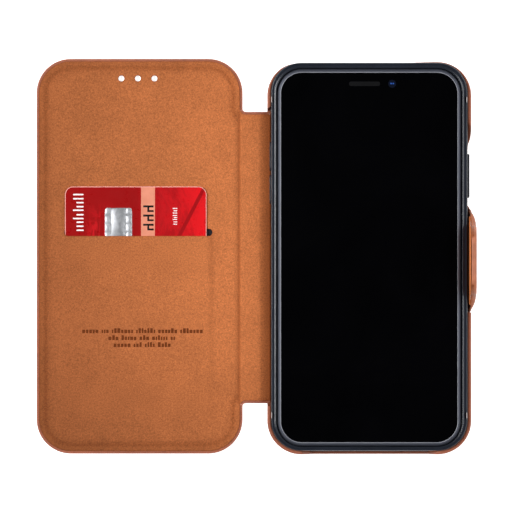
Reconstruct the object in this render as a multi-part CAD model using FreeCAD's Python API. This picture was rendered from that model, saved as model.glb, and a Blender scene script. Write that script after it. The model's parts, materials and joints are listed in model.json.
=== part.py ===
"""Phone wallet case: an open folio with a card pocket, a snap-in back case and a clasp tab.

Frame, millimetres: the origin is the centre of the back case's underside, +X points from the
spine to the clasp tab, +Y to the top of the phone, +Z out of the phone's screen. At rest the
front cover and the spine lie open and flat beside the back case, and the clasp tab stands up.
Shutting it turns the spine up by a quarter turn, the cover by another, and the tab's flap over it.
"""
import FreeCAD, Part
import math
import os

Vector = FreeCAD.Vector
AXIS_X = Vector(1, 0, 0)
AXIS_Y = Vector(0, 1, 0)

# Layers and gaps
GLUE_GAP = 0.05            # between layers that are glued on the real case
FREE_GAP = 0.25            # between pieces that move past each other
LEATHER_T = 0.75
CUT_PAST = 5.0             # how far a cutting tool reaches past what it cuts

# Phone
PHONE_HALF_W = 35.1
PHONE_HALF_H = 71.85
PHONE_T = 7.7
PHONE_CORNER_R = 9.4
PHONE_EDGE_R = 1.3
PHONE_Z0 = 2.1
PHONE_Z1 = PHONE_Z0 + PHONE_T
FRONT_GLASS_HALF_W = 33.55
FRONT_GLASS_HALF_H = 70.3
FRONT_GLASS_R = 7.9
FRONT_GLASS_T = 0.6
BACK_GLASS_INSET = 1.5
BACK_GLASS_T = 0.5
EARPIECE_X = -1.8
EARPIECE_W = 11.8
EARPIECE_H = 1.7
EARPIECE_R = 0.8
FRONT_DETAIL_Y = 66.1
FRONT_CAMERA_X = 8.7
FRONT_CAMERA_R = 1.5
FRONT_DETAIL_DEPTH = 0.4
PORT_HALF_W = 4.5
PORT_HALF_H = 1.3
PORT_R = 1.2
PORT_DEPTH = 6.0
KEY_T = 0.8
KEY_HALF_H = 1.1
KEY_R = 1.0
KEY_INSET = 2.0            # each key ends this far inside its cover
KEY_Z = PHONE_Z0 + PHONE_T / 2

# Rear camera block of the phone, and the window in the case that it looks through
CAMERA_X = 19.6
CAMERA_Y = 51.0
CAMERA_HALF_W = 9.6
CAMERA_HALF_H = 15.4
CAMERA_R = 5.0
CAMERA_BUMP_T = 0.9
LENS_R = 4.6
LENS_PITCH = 15.0
LENS_PROUD = 0.35
FLASH_R = 2.0
LENS_DX = -1.6             # lenses and flash, from the middle of the camera block
FLASH_DX = 6.2
WINDOW_MARGIN = 2.2
TRIM_W = 0.8

# Back case
CASE_HALF_W = 38.8
CASE_HALF_H = 74.9
CASE_CORNER_R = 12.8
CASE_EDGE_R = 1.6
LEATHER_WALL_Z = 8.6
LEATHER_RIM_R = 0.4
LEATHER_SPINE_EDGE_X = -38.0
FRAME_HALF_W = 37.4
FRAME_HALF_H = 74.1
FRAME_CORNER_R = 11.4
FRAME_TOP_Z = 10.4
FRAME_EDGE_R = 0.75
FRAME_INNER_R = 0.45
SHELL_T = 1.0
SHELL_EDGE_R = 0.3
SHELL_Z0 = LEATHER_T + GLUE_GAP
SHELL_Z1 = SHELL_Z0 + SHELL_T
LINER_T = 0.15
CAVITY_HALF_W = PHONE_HALF_W + 0.2
CAVITY_HALF_H = PHONE_HALF_H + 0.2
CAVITY_R = PHONE_CORNER_R + 0.2

# Openings in the walls of the back case
BASE_CUT_HALF_W = 22.0     # the leather is cut away below the port and the speakers
BASE_CUT_Z = 1.4
TOP_CUT_X0 = -29.0
TOP_CUT_X1 = 18.0
POWER_CUT_Y0 = 18.9
POWER_CUT_Y1 = 42.9
PORT_OPENING_HALF_W = 7.0
PORT_OPENING_Z0 = 3.7
PORT_OPENING_Z1 = 8.3
SPEAKER_HOLE_R = 0.75
SPEAKER_HOLES = 5
SPEAKER_PITCH = 2.6
SPEAKER_FIRST_X = 10.0
MUTE_Y0 = 47.6
MUTE_Y1 = 53.2
MUTE_HALF_H = 1.8
MUTE_R = 1.6

# Button covers
POWER_Y0 = 22.7
POWER_Y1 = 39.4
POWER_FACE_X = 38.15
VOLUME_UP_Y0 = 32.9
VOLUME_UP_Y1 = 44.0
VOLUME_DOWN_Y0 = 20.4
VOLUME_DOWN_Y1 = 31.5
VOLUME_FACE_X = -37.95
BUTTON_HALF_H = 1.7
BUTTON_R = 1.2
BUTTON_EDGE_R = 0.3
BUTTON_INNER_X = CAVITY_HALF_W + 0.3
BUTTON_GAP = 0.2

# Spine: hinge A joins it to the back case, hinge B to the front cover
HINGE_A_X = -39.1
HINGE_A_Z = 0.8
SPINE_W = 11.4
HINGE_B_X = HINGE_A_X - SPINE_W
HINGE_B_Z = 1.3
HINGE_GAP = 0.15
SPINE_HALF_H = 55.5
SPINE_STIFFENER_T = 0.4
SPINE_STIFFENER_INSET = 1.0
SPINE_LINING_T = 0.35
SPINE_CREASE_W = 1.1       # the lining stops this far from hinge B
SPINE_SLOT_GAP = 0.5       # between the end of the spine and the case or cover beside it

# Front cover
COVER_X0 = -126.7
COVER_X1 = -48.25
COVER_HALF_H = 75.0
COVER_CORNER_R = 13.0
BOARD_Z0 = LEATHER_T + GLUE_GAP
BOARD_Z1 = 1.75
BOARD_INSET = 1.2
LINING_Z0 = BOARD_Z1 + GLUE_GAP
LINING_T = 0.4
LINING_Z1 = LINING_Z0 + LINING_T
LINING_INSET = 0.5
PUNCH_X = -88.1
PUNCH_Y = 68.2
PUNCH_PITCH = 6.3
PUNCH_R = 1.1

# Card and card pocket
CARD_L = 85.6
CARD_W = 53.98
CARD_T = 0.76
CARD_R = 3.18
CARD_X = -88.9
CARD_TOP_Y = 27.05
CARD_LIFT = 0.05           # above the lining, where it passes the slit's upper edge
CARD_SLOPE = 0.0122        # rise per length: the card leans down into its pocket
CARD_PLAY = 0.05
SLIT_Y0 = 8.2
SLIT_Y1 = 10.9
POCKET_X0 = -116.4
POCKET_X1 = -59.7
POCKET_Y0 = -60.2
POCKET_WALL = 0.6
POCKET_FRONT_T = 0.35
POCKET_FLOOR_Z = 1.05
BACKING_T = 0.25
CHIP_X = -95.5
CHIP_W = 10.4
CHIP_L = 12.0
CHIP_TOP_Y = 18.9
CHIP_T = 0.3
CHIP_R = 1.8
SLEEP_MAGNET_X = -119.0
SLEEP_MAGNET_Y = 40.0
SLEEP_MAGNET_W = 3.0
SLEEP_MAGNET_L = 12.0
SLEEP_MAGNET_R = 0.5
INSERT_T = 0.5

# Clasp tab: hinge C joins it to the back case, hinge D lets its flap fold over the cover
TAB_X0 = 38.0
TAB_ROOT_Y0 = -20.8
TAB_ROOT_Y1 = 18.5
TAB_TIP_Y0 = -14.2
TAB_TIP_Y1 = 11.9
TAB_ROOT_T = 1.6
TAB_FLAP_T = 2.7
TAB_LINING_T = 0.5
TAB_FLAP_LEATHER_T = 0.9
TAB_SHOULDER_Z0 = 3.2
TAB_SLOT_GAP = 0.4
HINGE_C_X = 38.8
HINGE_C_Z = 0.95
TAB_BASE_Z = HINGE_C_Z + HINGE_GAP
HINGE_D_X = 38.9
HINGE_D_Z = 14.75
TAB_SIDE_TOP_Z = 14.3
TAB_FLAP_BASE_Z = HINGE_D_Z + HINGE_GAP
TAB_CREASE_Z = 15.3        # the flap's board starts above the crease
TAB_LINING_CREASE = 1.05   # both linings stop this far from hinge D
TAB_TOP_Z = 28.9
TAB_TIP_R = 7.0
TAB_LEATHER_X0 = TAB_X0 + TAB_LINING_T + GLUE_GAP
LEATHER_EDGE_AT_TAB_X = HINGE_C_X - TAB_SLOT_GAP
TAB_MAGNET_R = 3.4
TAB_MAGNET_T = 0.9
TAB_MAGNET_PITCH = 10.0
TAB_MAGNET_Z = 22.4
KEEPER_W = 6.0
KEEPER_L = 20.0
KEEPER_R = 1.0


def box(x0, x1, y0, y1, z0, z1):
    """A plain block between two corners."""
    return Part.makeBox(x1 - x0, y1 - y0, z1 - z0, Vector(x0, y0, z0))


def rounded_face(u0, u1, v0, v1, radius):
    """A face in the XY plane: a rectangle whose four corners are arcs."""
    corners = (
        (u1 - radius, v1 - radius, 0),
        (u0 + radius, v1 - radius, 90),
        (u0 + radius, v0 + radius, 180),
        (u1 - radius, v0 + radius, 270),
    )
    arcs = []
    for cx, cy, start in corners:
        points = []
        for turn in (0, 45, 90):
            angle = math.radians(start + turn)
            points.append(Vector(cx + radius * math.cos(angle), cy + radius * math.sin(angle), 0))
        arcs.append(points)
    edges = []
    for index, (first, middle, last) in enumerate(arcs):
        edges.append(Part.Arc(first, middle, last).toShape())
        following = arcs[(index + 1) % len(arcs)][0]
        if (following - last).Length > GLUE_GAP / 10:
            edges.append(Part.LineSegment(last, following).toShape())
    return Part.Face(Part.Wire(edges))


def plate(x0, x1, y0, y1, z0, z1, radius):
    """A flat plate with rounded corners, lying in the XY plane."""
    face = rounded_face(x0, x1, y0, y1, radius)
    face.translate(Vector(0, 0, z0))
    return face.extrude(Vector(0, 0, z1 - z0))


def centred_plate(half_w, half_h, z0, z1, radius, x=0.0, y=0.0):
    """A plate with rounded corners about a centre."""
    return plate(x - half_w, x + half_w, y - half_h, y + half_h, z0, z1, radius)


def side_pad(x0, x1, y0, y1, z_centre, half_h, radius):
    """A pad whose rounded outline faces along X."""
    face = rounded_face(y0, y1, z_centre - half_h, z_centre + half_h, radius)
    face.rotate(Vector(0, 0, 0), Vector(1, 1, 1), 120)
    face.translate(Vector(x0, 0, 0))
    return face.extrude(Vector(x1 - x0, 0, 0))


def rod(x, y, z0, z1, radius):
    """An upright round rod."""
    return Part.makeCylinder(radius, z1 - z0, Vector(x, y, z0))


def edges_at(shape, z):
    """The edges that lie wholly in the level plane at z."""
    found = []
    for edge in shape.Edges:
        bounds = edge.BoundBox
        if abs(bounds.ZMin - z) < GLUE_GAP / 10 and abs(bounds.ZMax - z) < GLUE_GAP / 10:
            found.append(edge)
    return found


def fillet_level(shape, z, radius):
    """Round every edge that lies in the level plane at z."""
    return shape.makeFillet(radius, edges_at(shape, z))


def camera_opening(margin, z0, z1):
    """The rear camera's outline, larger by a margin, as a cutting tool or a block."""
    return centred_plate(
        CAMERA_HALF_W + margin, CAMERA_HALF_H + margin, z0, z1, CAMERA_R + margin, CAMERA_X, CAMERA_Y
    )


# ---- Back case ----------------------------------------------------------------------------


def make_back_leather():
    """Outer leather: a base sheet with a wall turned up round the hard shell."""
    tray = centred_plate(CASE_HALF_W, CASE_HALF_H, 0, LEATHER_WALL_Z, CASE_CORNER_R)
    tray = fillet_level(tray, 0, CASE_EDGE_R)
    tray = fillet_level(tray, LEATHER_WALL_Z, LEATHER_RIM_R)
    hollow = centred_plate(
        FRAME_HALF_W + GLUE_GAP,
        FRAME_HALF_H + GLUE_GAP,
        LEATHER_T,
        LEATHER_WALL_Z + CUT_PAST,
        FRAME_CORNER_R,
    )
    tray = tray.cut(hollow)
    left, right = -CASE_HALF_W - CUT_PAST, CASE_HALF_W + CUT_PAST
    far = CASE_HALF_H + CUT_PAST
    spine_end = SPINE_HALF_H + SPINE_SLOT_GAP
    above = LEATHER_WALL_Z + CUT_PAST
    cuts = [
        box(left, LEATHER_SPINE_EDGE_X, -spine_end, spine_end, -CUT_PAST, above),
        box(left, 0, -spine_end, spine_end, LEATHER_T, above),
        box(FRAME_HALF_W, right, POWER_CUT_Y0, POWER_CUT_Y1, -CUT_PAST, above),
        box(FRAME_HALF_W, right, TAB_ROOT_Y0 - TAB_SLOT_GAP, POWER_CUT_Y0, LEATHER_T, above),
        box(LEATHER_EDGE_AT_TAB_X, right, TAB_ROOT_Y0 - TAB_SLOT_GAP, POWER_CUT_Y0, -CUT_PAST, above),
        box(TOP_CUT_X0, TOP_CUT_X1, FRAME_HALF_H, far, -CUT_PAST, above),
        box(-BASE_CUT_HALF_W, BASE_CUT_HALF_W, -far, -FRAME_HALF_H, BASE_CUT_Z, above),
        camera_opening(WINDOW_MARGIN, -CUT_PAST, CUT_PAST),
    ]
    for cut in cuts:
        tray = tray.cut(cut)
    return tray


def make_back_shell():
    """Hard plastic plate inside the leather, which the frame is bonded to."""
    half_w = FRAME_HALF_W - FREE_GAP
    half_h = FRAME_HALF_H - FREE_GAP
    shell = centred_plate(half_w, half_h, SHELL_Z0, SHELL_Z1, FRAME_CORNER_R)
    shell = fillet_level(shell, SHELL_Z1, SHELL_EDGE_R)
    return shell.cut(camera_opening(WINDOW_MARGIN, -CUT_PAST, CUT_PAST))


def frame_wall_cuts():
    """The openings through the frame's walls, as cutting tools."""
    outside = CASE_HALF_W + CUT_PAST
    gap = BUTTON_GAP
    z, half_h = KEY_Z, BUTTON_HALF_H + gap
    radius = BUTTON_R + gap
    cuts = [side_pad(0, outside, POWER_Y0 - gap, POWER_Y1 + gap, z, half_h, radius)]
    for y0, y1 in ((VOLUME_UP_Y0, VOLUME_UP_Y1), (VOLUME_DOWN_Y0, VOLUME_DOWN_Y1)):
        cuts.append(side_pad(-outside, 0, y0 - gap, y1 + gap, z, half_h, radius))
    cuts.append(side_pad(-outside, 0, MUTE_Y0, MUTE_Y1, z, MUTE_HALF_H, MUTE_R))
    far = CASE_HALF_H + CUT_PAST
    cuts.append(
        box(
            -PORT_OPENING_HALF_W,
            PORT_OPENING_HALF_W,
            -far,
            0,
            PORT_OPENING_Z0,
            PORT_OPENING_Z1,
        )
    )
    for side in (-1, 1):
        for index in range(SPEAKER_HOLES):
            x = side * (SPEAKER_FIRST_X + index * SPEAKER_PITCH)
            cuts.append(Part.makeCylinder(SPEAKER_HOLE_R, far, Vector(x, -far, z), AXIS_Y))
    return cuts


def make_bumper_frame():
    """Soft frame: it grips the phone all round and stands proud of the phone's glass."""
    frame = centred_plate(FRAME_HALF_W, FRAME_HALF_H, SHELL_Z1 + GLUE_GAP, FRAME_TOP_Z, FRAME_CORNER_R)
    frame = fillet_level(frame, FRAME_TOP_Z, FRAME_EDGE_R)
    cavity = centred_plate(CAVITY_HALF_W, CAVITY_HALF_H, 0, FRAME_TOP_Z + CUT_PAST, CAVITY_R)
    frame = frame.cut(cavity)
    rim = [edge for edge in edges_at(frame, FRAME_TOP_Z) if edge.distToShape(cavity)[0] < GLUE_GAP / 10]
    frame = frame.makeFillet(FRAME_INNER_R, rim)
    for cut in frame_wall_cuts():
        frame = frame.cut(cut)
    return frame


def make_back_liner():
    """Soft microfibre sheet that the phone's back lies on."""
    liner = centred_plate(
        CAVITY_HALF_W - GLUE_GAP,
        CAVITY_HALF_H - GLUE_GAP,
        SHELL_Z1 + GLUE_GAP,
        SHELL_Z1 + GLUE_GAP + LINER_T,
        CAVITY_R - GLUE_GAP,
    )
    return liner.cut(camera_opening(WINDOW_MARGIN, -CUT_PAST, CUT_PAST))


def make_camera_window_trim():
    """Hard ring that edges the camera window through the leather and the shell."""
    outer = camera_opening(WINDOW_MARGIN - GLUE_GAP, GLUE_GAP, SHELL_Z1)
    return outer.cut(camera_opening(WINDOW_MARGIN - GLUE_GAP - TRIM_W, -CUT_PAST, CUT_PAST))


# ---- Button covers ------------------------------------------------------------------------


def button_cover(y0, y1, x_inner, x_face):
    """A soft button cover, with its outer face rounded off."""
    x0, x1 = min(x_inner, x_face), max(x_inner, x_face)
    pad = side_pad(x0, x1, y0, y1, KEY_Z, BUTTON_HALF_H, BUTTON_R)
    face_edges = []
    for edge in pad.Edges:
        bounds = edge.BoundBox
        if abs(bounds.XMin - x_face) < GLUE_GAP / 10 and abs(bounds.XMax - x_face) < GLUE_GAP / 10:
            face_edges.append(edge)
    return pad.makeFillet(BUTTON_EDGE_R, face_edges)


# ---- Spine --------------------------------------------------------------------------------


def make_spine_leather():
    """Outer leather of the spine, between the two hinges."""
    return box(
        HINGE_B_X + HINGE_GAP, HINGE_A_X - HINGE_GAP, -SPINE_HALF_H, SPINE_HALF_H, 0, LEATHER_T
    )


def make_spine_stiffener():
    """Thin board that keeps the spine flat."""
    inset = SPINE_STIFFENER_INSET
    z0 = LEATHER_T + GLUE_GAP
    return plate(
        HINGE_B_X + inset,
        HINGE_A_X - inset,
        -SPINE_HALF_H + inset,
        SPINE_HALF_H - inset,
        z0,
        z0 + SPINE_STIFFENER_T,
        inset,
    )


def make_spine_lining():
    """Lining of the spine, which stops short of the crease at the cover."""
    z0 = LEATHER_T + GLUE_GAP + SPINE_STIFFENER_T + GLUE_GAP
    return box(
        HINGE_B_X + SPINE_CREASE_W,
        HINGE_A_X - HINGE_GAP,
        -SPINE_HALF_H,
        SPINE_HALF_H,
        z0,
        z0 + SPINE_LINING_T,
    )


# ---- Front cover --------------------------------------------------------------------------


def cover_sheet(inset, z0, z1):
    """One layer of the cover: its outline, cut back beside the spine, with the punched holes."""
    sheet = plate(
        COVER_X0 + inset,
        COVER_X1 - inset,
        -COVER_HALF_H + inset,
        COVER_HALF_H - inset,
        z0,
        z1,
        COVER_CORNER_R - inset,
    )
    spine_end = SPINE_HALF_H + SPINE_SLOT_GAP + inset
    edge = HINGE_B_X - HINGE_GAP
    sheet = sheet.cut(box(edge, COVER_X1 + CUT_PAST, -spine_end, spine_end, -CUT_PAST, CUT_PAST))
    for index in (-1, 0, 1):
        sheet = sheet.cut(rod(PUNCH_X + index * PUNCH_PITCH, PUNCH_Y, -CUT_PAST, CUT_PAST, PUNCH_R))
    return sheet


def make_cover_leather():
    """Outer leather of the front cover."""
    return cover_sheet(0, 0, LEATHER_T)


def make_cover_board():
    """Stiff board inside the cover, recessed for the pocket, the steel keeper and the magnet."""
    board = cover_sheet(BOARD_INSET, BOARD_Z0, BOARD_Z1)
    recess = box(POCKET_X0, POCKET_X1, POCKET_Y0, SLIT_Y1, POCKET_FLOOR_Z, BOARD_Z1 + CUT_PAST)
    board = board.cut(recess)
    for insert in (keeper_block(GLUE_GAP), sleep_magnet_block(GLUE_GAP)):
        board = board.cut(insert)
    return board


def keeper_block(margin):
    """The steel keeper's outline, below where the flap's magnets come to lie."""
    closed_x = HINGE_D_X - (TAB_MAGNET_Z - HINGE_D_Z)
    from_hinge_b = closed_x - HINGE_A_X - (HINGE_B_Z - HINGE_A_Z)
    x = HINGE_B_X - from_hinge_b
    y = (TAB_TIP_Y0 + TAB_TIP_Y1) / 2
    return centred_plate(
        KEEPER_W / 2 + margin,
        KEEPER_L / 2 + margin,
        BOARD_Z1 - INSERT_T,
        BOARD_Z1,
        KEEPER_R + margin,
        x,
        y,
    )


def sleep_magnet_block(margin):
    """The bar magnet that switches the phone's screen as the cover shuts."""
    return centred_plate(
        SLEEP_MAGNET_W / 2 + margin,
        SLEEP_MAGNET_L / 2 + margin,
        BOARD_Z1 - INSERT_T,
        BOARD_Z1,
        SLEEP_MAGNET_R + margin,
        SLEEP_MAGNET_X,
        SLEEP_MAGNET_Y,
    )


def card_under_z(y):
    """Height of the card's underside above a place along its length."""
    return LINING_Z1 + CARD_LIFT + (y - SLIT_Y1) * CARD_SLOPE


def pocket_wedge(x0, x1, y0, y1, above_card):
    """A block from the lining's underside up to a plane that follows the card's upper face."""
    points = []
    for y, z in (
        (y0, LINING_Z0),
        (y1, LINING_Z0),
        (y1, card_under_z(y1) + CARD_T + above_card),
        (y0, card_under_z(y0) + CARD_T + above_card),
    ):
        points.append(Vector(x0, y, z))
    points.append(points[0])
    face = Part.Face(Part.makePolygon(points))
    return face.extrude(Vector(x1 - x0, 0, 0))


def make_cover_lining():
    """Suede lining with the card slit; below the slit it rises over the pocket."""
    lining = cover_sheet(LINING_INSET, LINING_Z0, LINING_Z1)
    mouth = box(POCKET_X0, POCKET_X1, POCKET_Y0, SLIT_Y1, 0, LINING_Z1 + CUT_PAST)
    lining = lining.cut(mouth)
    front = pocket_wedge(
        POCKET_X0 - POCKET_WALL,
        POCKET_X1 + POCKET_WALL,
        POCKET_Y0 - POCKET_WALL,
        SLIT_Y0,
        CARD_PLAY + POCKET_FRONT_T,
    )
    hollow = pocket_wedge(POCKET_X0, POCKET_X1, POCKET_Y0, SLIT_Y1 + CUT_PAST, CARD_PLAY)
    return lining.fuse(front.cut(hollow)).removeSplitter()


def make_pocket_backing():
    """Thin cloth on the pocket's floor."""
    return box(
        POCKET_X0 + GLUE_GAP,
        POCKET_X1 - GLUE_GAP,
        POCKET_Y0 + GLUE_GAP,
        SLIT_Y1 - GLUE_GAP,
        POCKET_FLOOR_Z,
        POCKET_FLOOR_Z + BACKING_T,
    )


# ---- Card ---------------------------------------------------------------------------------


def lean_into_pocket(shape):
    """Turn a shape made level at height 0 into the card's own plane."""
    angle = math.degrees(math.atan(CARD_SLOPE))
    shape.rotate(Vector(0, SLIT_Y1, 0), AXIS_X, angle)
    shape.translate(Vector(0, 0, LINING_Z1 + CARD_LIFT))
    return shape


def chip_block(margin):
    """The contact chip's outline, level, at the card's upper face."""
    return plate(
        CHIP_X - CHIP_W / 2 - margin,
        CHIP_X + CHIP_W / 2 + margin,
        CHIP_TOP_Y - CHIP_L - margin,
        CHIP_TOP_Y + margin,
        CARD_T - CHIP_T - margin,
        CARD_T,
        CHIP_R,
    )


def make_card():
    """A payment card of standard size, upright in its pocket."""
    card = plate(
        CARD_X - CARD_W / 2,
        CARD_X + CARD_W / 2,
        CARD_TOP_Y - CARD_L,
        CARD_TOP_Y,
        0,
        CARD_T,
        CARD_R,
    )
    return lean_into_pocket(card.cut(chip_block(GLUE_GAP / 5)))


def make_card_chip():
    """The card's contact chip."""
    return lean_into_pocket(chip_block(0))


# ---- Clasp tab ----------------------------------------------------------------------------


def tab_profile(x0, x1, z0, z1):
    """The standing tab between two heights: wide at its root, with S-shaped shoulders."""
    top = HINGE_D_Z
    span = top - TAB_SHOULDER_Z0
    sides = []
    for root_y, tip_y in ((TAB_ROOT_Y1, TAB_TIP_Y1), (TAB_ROOT_Y0, TAB_TIP_Y0)):
        poles = [
            Vector(x0, root_y, TAB_SHOULDER_Z0),
            Vector(x0, root_y, TAB_SHOULDER_Z0 + span / 2),
            Vector(x0, tip_y, top - span / 2),
            Vector(x0, tip_y, top),
        ]
        curve = Part.BezierCurve()
        curve.setPoles(poles)
        sides.append(curve.toShape())
    right, left = sides
    edges = [
        Part.makeLine(Vector(x0, TAB_ROOT_Y0, 0), Vector(x0, TAB_ROOT_Y1, 0)),
        Part.makeLine(Vector(x0, TAB_ROOT_Y1, 0), Vector(x0, TAB_ROOT_Y1, TAB_SHOULDER_Z0)),
        right,
        Part.makeLine(Vector(x0, TAB_TIP_Y1, top), Vector(x0, TAB_TIP_Y0, top)),
        left,
        Part.makeLine(Vector(x0, TAB_ROOT_Y0, TAB_SHOULDER_Z0), Vector(x0, TAB_ROOT_Y0, 0)),
    ]
    lower = Part.Face(Part.Wire(Part.__sortEdges__(edges))).extrude(Vector(x1 - x0, 0, 0))
    half_h = (TAB_TOP_Z - top) / 2 + CUT_PAST
    upper = side_pad(x0, x1, TAB_TIP_Y0, TAB_TIP_Y1, TAB_TOP_Z - half_h, half_h, TAB_TIP_R)
    whole = lower.fuse(upper.cut(box(x0, x1, TAB_ROOT_Y0, TAB_ROOT_Y1, -CUT_PAST, top)))
    window = box(x0, x1, TAB_ROOT_Y0, TAB_ROOT_Y1, z0, z1)
    return whole.common(window).removeSplitter()


def magnet_rods(margin):
    """The clasp's two disc magnets, lying in the flap's board."""
    y = (TAB_TIP_Y0 + TAB_TIP_Y1) / 2
    x0 = TAB_LEATHER_X0 + GLUE_GAP - margin
    rods = []
    for side in (-1, 1):
        start = Vector(x0, y + side * TAB_MAGNET_PITCH / 2, TAB_MAGNET_Z)
        rods.append(Part.makeCylinder(TAB_MAGNET_R + margin, TAB_MAGNET_T + 2 * margin, start, AXIS_X))
    return Part.makeCompound(rods)


def make_tab_side_leather():
    """Outer leather of the part that stands beside the case."""
    return tab_profile(TAB_LEATHER_X0, TAB_X0 + TAB_ROOT_T, TAB_BASE_Z, TAB_SIDE_TOP_Z)


def make_tab_side_lining():
    """Lining of the part that stands beside the case."""
    return tab_profile(TAB_X0, TAB_X0 + TAB_LINING_T, TAB_BASE_Z, HINGE_D_Z - TAB_LINING_CREASE)


def make_tab_flap_leather():
    """Outer leather of the flap."""
    x1 = TAB_X0 + TAB_FLAP_T
    return tab_profile(x1 - TAB_FLAP_LEATHER_T, x1, TAB_FLAP_BASE_Z, TAB_TOP_Z)


def make_tab_flap_board():
    """Board inside the flap, with a hole for each magnet."""
    x1 = TAB_X0 + TAB_FLAP_T - TAB_FLAP_LEATHER_T - GLUE_GAP
    board = tab_profile(TAB_LEATHER_X0, x1, TAB_CREASE_Z, TAB_TOP_Z - BOARD_INSET / 2)
    return board.cut(magnet_rods(GLUE_GAP / 2))


def make_tab_flap_lining():
    """Lining of the flap, which lies against the shut cover."""
    return tab_profile(TAB_X0, TAB_X0 + TAB_LINING_T, HINGE_D_Z + TAB_LINING_CREASE, TAB_TOP_Z)


# ---- Phone --------------------------------------------------------------------------------


def front_glass_block(margin):
    """The front glass's outline."""
    return centred_plate(
        FRONT_GLASS_HALF_W + margin,
        FRONT_GLASS_HALF_H + margin,
        PHONE_Z1 - FRONT_GLASS_T - margin,
        PHONE_Z1,
        FRONT_GLASS_R,
    )


def back_glass_block(margin):
    """The back glass's outline."""
    return centred_plate(
        PHONE_HALF_W - BACK_GLASS_INSET + margin,
        PHONE_HALF_H - BACK_GLASS_INSET + margin,
        PHONE_Z0,
        PHONE_Z0 + BACK_GLASS_T + margin,
        PHONE_CORNER_R - BACK_GLASS_INSET,
    )


def phone_key(side, y0, y1, margin):
    """A side key, flush with the phone's side; side is +1 on the right, -1 on the left."""
    outer = side * PHONE_HALF_W
    inner = side * (PHONE_HALF_W - KEY_T - margin)
    x0, x1 = min(outer, inner), max(outer, inner)
    return side_pad(x0, x1, y0 - margin, y1 + margin, KEY_Z, KEY_HALF_H + margin, KEY_R)


def phone_keys(margin):
    """All side keys: one on the right and two on the left."""
    return [
        phone_key(1, POWER_Y0 + KEY_INSET, POWER_Y1 - KEY_INSET, margin),
        phone_key(-1, VOLUME_UP_Y0 + KEY_INSET, VOLUME_UP_Y1 - KEY_INSET, margin),
        phone_key(-1, VOLUME_DOWN_Y0 + KEY_INSET, VOLUME_DOWN_Y1 - KEY_INSET, margin),
    ]


def make_phone_body():
    """Metal body of the phone, with seats for both glasses, the keys and the port."""
    body = centred_plate(PHONE_HALF_W, PHONE_HALF_H, PHONE_Z0, PHONE_Z1, PHONE_CORNER_R)
    body = fillet_level(body, PHONE_Z0, PHONE_EDGE_R)
    body = fillet_level(body, PHONE_Z1, PHONE_EDGE_R)
    body = body.cut(front_glass_block(GLUE_GAP))
    body = body.cut(back_glass_block(GLUE_GAP))
    for key in phone_keys(GLUE_GAP):
        body = body.cut(key)
    port = plate(
        -PORT_HALF_W,
        PORT_HALF_W,
        KEY_Z - PORT_HALF_H,
        KEY_Z + PORT_HALF_H,
        0,
        PORT_DEPTH,
        PORT_R,
    )
    port.rotate(Vector(0, 0, 0), AXIS_X, 90)
    port.translate(Vector(0, -PHONE_HALF_H + PORT_DEPTH, 0))
    return body.cut(port)


def earpiece_block(margin):
    """The earpiece slot's outline in the front glass."""
    half_h = EARPIECE_H / 2 + margin
    return centred_plate(
        EARPIECE_W / 2 + margin,
        half_h,
        PHONE_Z1 - FRONT_DETAIL_DEPTH,
        PHONE_Z1,
        EARPIECE_R + margin,
        EARPIECE_X,
        FRONT_DETAIL_Y,
    )


def front_camera_rod(margin):
    """The front camera's outline in the front glass."""
    return rod(
        FRONT_CAMERA_X, FRONT_DETAIL_Y, PHONE_Z1 - FRONT_DETAIL_DEPTH, PHONE_Z1, FRONT_CAMERA_R + margin
    )


def make_phone_front_glass():
    """Front glass over the display, seated for the earpiece and the front camera."""
    glass = front_glass_block(0)
    margin = GLUE_GAP / 2
    glass = glass.cut(earpiece_block(margin))
    return glass.cut(front_camera_rod(margin))


def make_phone_camera_block():
    """Raised rear camera block, with a seat for each lens and the flash."""
    block = camera_opening(0, PHONE_Z0 - CAMERA_BUMP_T, PHONE_Z0)
    for lens in lens_rods(GLUE_GAP / 2) + [flash_rod(GLUE_GAP / 2)]:
        block = block.cut(lens)
    return block


def lens_rods(margin):
    """Both rear lenses, proud of the camera block."""
    rods = []
    for side in (-1, 1):
        y = CAMERA_Y + side * LENS_PITCH / 2
        z0 = PHONE_Z0 - CAMERA_BUMP_T - LENS_PROUD
        rods.append(rod(CAMERA_X + LENS_DX, y, z0, PHONE_Z0 - CAMERA_BUMP_T / 2, LENS_R + margin))
    return rods


def flash_rod(margin):
    """The flash, flush with the camera block."""
    z0 = PHONE_Z0 - CAMERA_BUMP_T
    return rod(CAMERA_X + FLASH_DX, CAMERA_Y, z0, PHONE_Z0 - CAMERA_BUMP_T / 2, FLASH_R + margin)


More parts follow.
